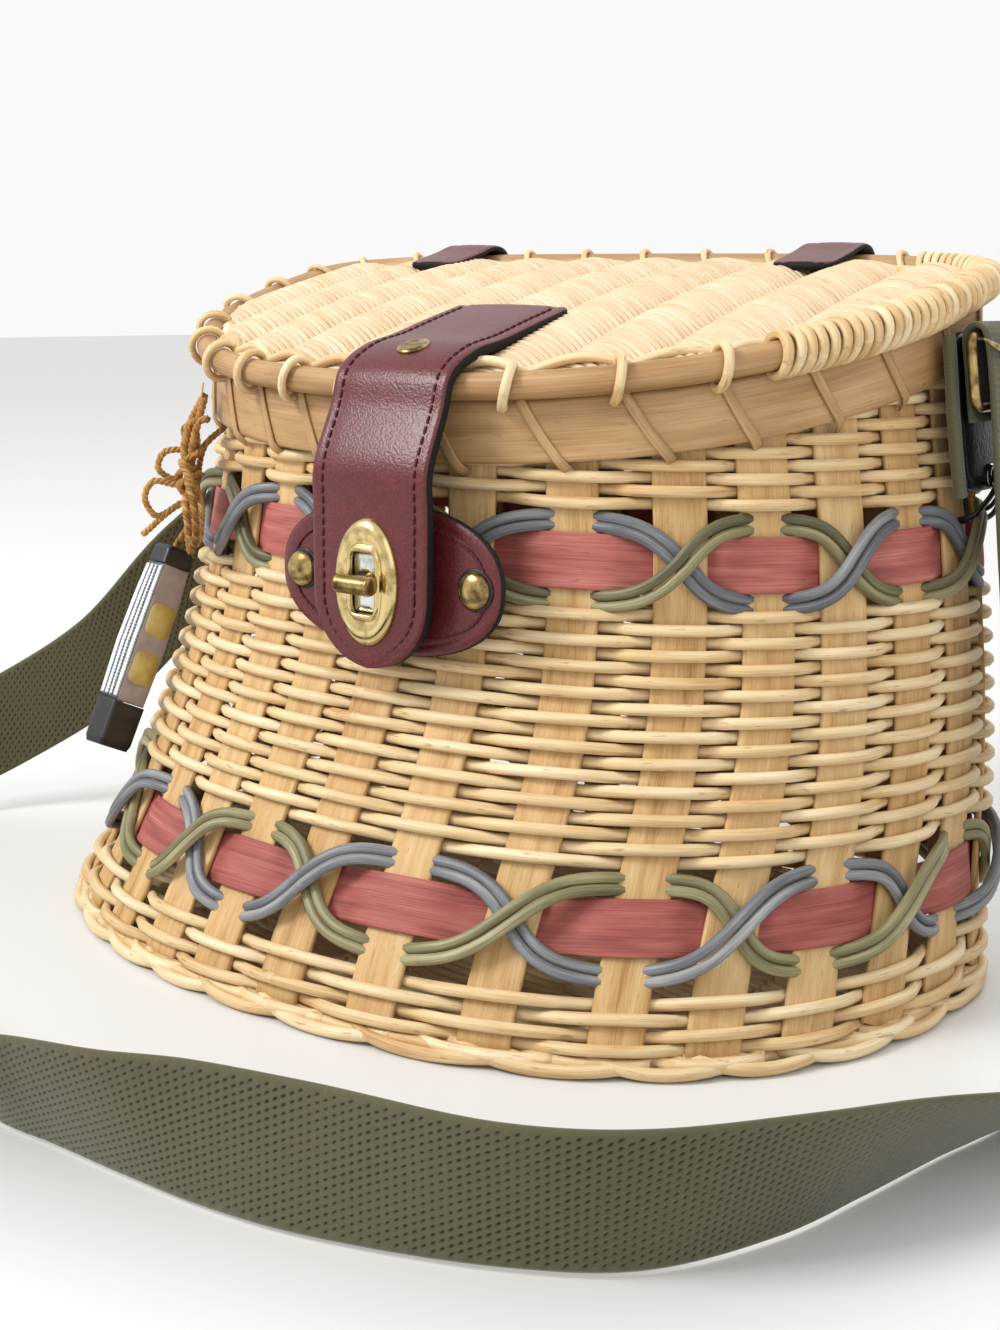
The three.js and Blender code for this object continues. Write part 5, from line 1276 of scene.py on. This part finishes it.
# Enamel: flat colour under a thin clear gloss.
greyEnamel = cloudyMaterial("grey_pink_enamel", "#a59a9c", "#90878b", 200.0, 0.45, Coat_Weight=0.2)
yellowEnamel = cloudyMaterial("yellow_enamel", "#cbb56a", "#bba35a", 300.0, 0.4, Coat_Weight=0.2)

topCap, footCap = pendantBlock(pendant["capTop"]), pendantBlock(pendant["capFoot"])
addPiece("pendant_top_cap", [topCap], [blackPlastic], ["pendant_cap_top"])
addPiece("pendant_foot_block", [footCap], [blackPlastic], ["pendant_cap_foot"])
enamelled = np.abs(np.cos((np.arange(96) + 1) / 96 * 2 * np.pi)) > 0.72  # the two narrow sides
# the body's faces other than the two narrow sides carry the painted shade between the ridges
addPiece("pendant_metal_body", [pendantBlock(pendant["body"], 96)], [shadedMetal, greyEnamel],
         ["pendant_body"], materialOf=np.concatenate([np.tile(enamelled, 39), [0, 0]]))
addPiece("pendant_serrated_ridges", makeRidges(), [silverMetal])
patchOut = pendantSide * (pendant["width"] / 2 * 0.97 + 0.02)
patches = [plate(downPendant(share) + patchOut, np.cross(pendantDown, pendantSide), -pendantDown, pendant["patch"],
                 pendant["patchRows"], 40) for share in pendant["patchesAt"]]
addPiece("pendant_yellow_patches", patches, [yellowEnamel])

bowLine = smoothPath(knotPoints(twine["bow"]), 400)
bow = addPiece("twine_bow_loops", twisted(bowLine, twine["radius"], 170), [jute], ["twine_bow"])
wraps = []
for i, rows in enumerate(twine["wraps"]):
    wraps += twisted(smoothPath(knotPoints(rows), 60), twine["wrapRadius"], 180 + 4 * i)
knot = addPiece("twine_knot_turns", wraps, [jute])

rimSpot, _ = rimPoint(np.array(twine["knotTurn"]), rim["drop"] + rim["height"] + 2.3, 1.5)
intoPendant = [pendantTop + pendantDown * deep for deep in (-1.2, 8.0, pendant["cordInside"])]
hangerLine = smoothPath(np.vstack([rimSpot[None], knotPoints(twine["hanger"]), intoPendant]), 160)
hanger = addPiece("twine_hanger_cord", twisted(hangerLine, twine["radius"], 190), [jute], ["twine_hanger"])
paleLine = smoothPath(knotPoints(twine["pale"]), 40)
paleStrand = strands(paleLine, knotOut, 0.9, 0.45, 6, seed=195)
addPiece("pale_tie_strand", [paleStrand], [paleCane])

# Stage: plain pale floor, soft light
stage = {
    "floor": "#dddcda", "floorRoughness": 0.4, "halfSize": 6, "world": "#ffffff", "worldStrength": 0.95,
    "aim": (0, 0, 0.1),
    "lights": [  # name, place in metres, size, watts
        ("key_soft_box", (-0.95, -1.35, 1.45), 0.7, 32),
        ("fill_soft_box", (1.6, -0.9, 1.1), 1.4, 5),
        ("back_soft_box", (0.2, 1.5, 1.6), 1.6, 8),
    ],
}


def makeStage():  # each light's axis points from the aim to its place
    # Honed pale floor: soft reflections, so the bag stands on a faint shadow.
    surface = {"Roughness": stage["floorRoughness"], "Base_Color": linear(stage["floor"])}
    material = newMaterial("pale_honed_floor", **surface)[0]
    half = stage["halfSize"]
    mesh = bpy.data.meshes.new("floor")
    mesh.from_pydata([(-half, -half, 0), (half, -half, 0), (half, half, 0), (-half, half, 0)], [], [(0, 1, 2, 3)])
    mesh.materials.append(material)
    floor = bpy.data.objects.new("floor", mesh)
    bpy.context.scene.collection.objects.link(floor)
    world = bpy.data.worlds.new("studio")
    world.use_nodes = True
    background = world.node_tree.nodes["Background"].inputs
    background["Color"].default_value = linear(stage["world"])
    background["Strength"].default_value = stage["worldStrength"]
    bpy.context.scene.world = world
    for name, place, size, watts in stage["lights"]:
        data = bpy.data.lights.new(name, "AREA")
        data.size, data.energy = size, watts
        light = bpy.data.objects.new(name, data)
        bpy.context.scene.collection.objects.link(light)
        back = unit(np.array(place) - np.array(stage["aim"]))
        right = unit(np.cross((0, 0, 1.0), back))
        light.matrix_world = poseMatrix(right, np.cross(back, right), back, place)
    bpy.context.scene.view_settings.view_transform = "Standard"


makeStage()
print("stage made")
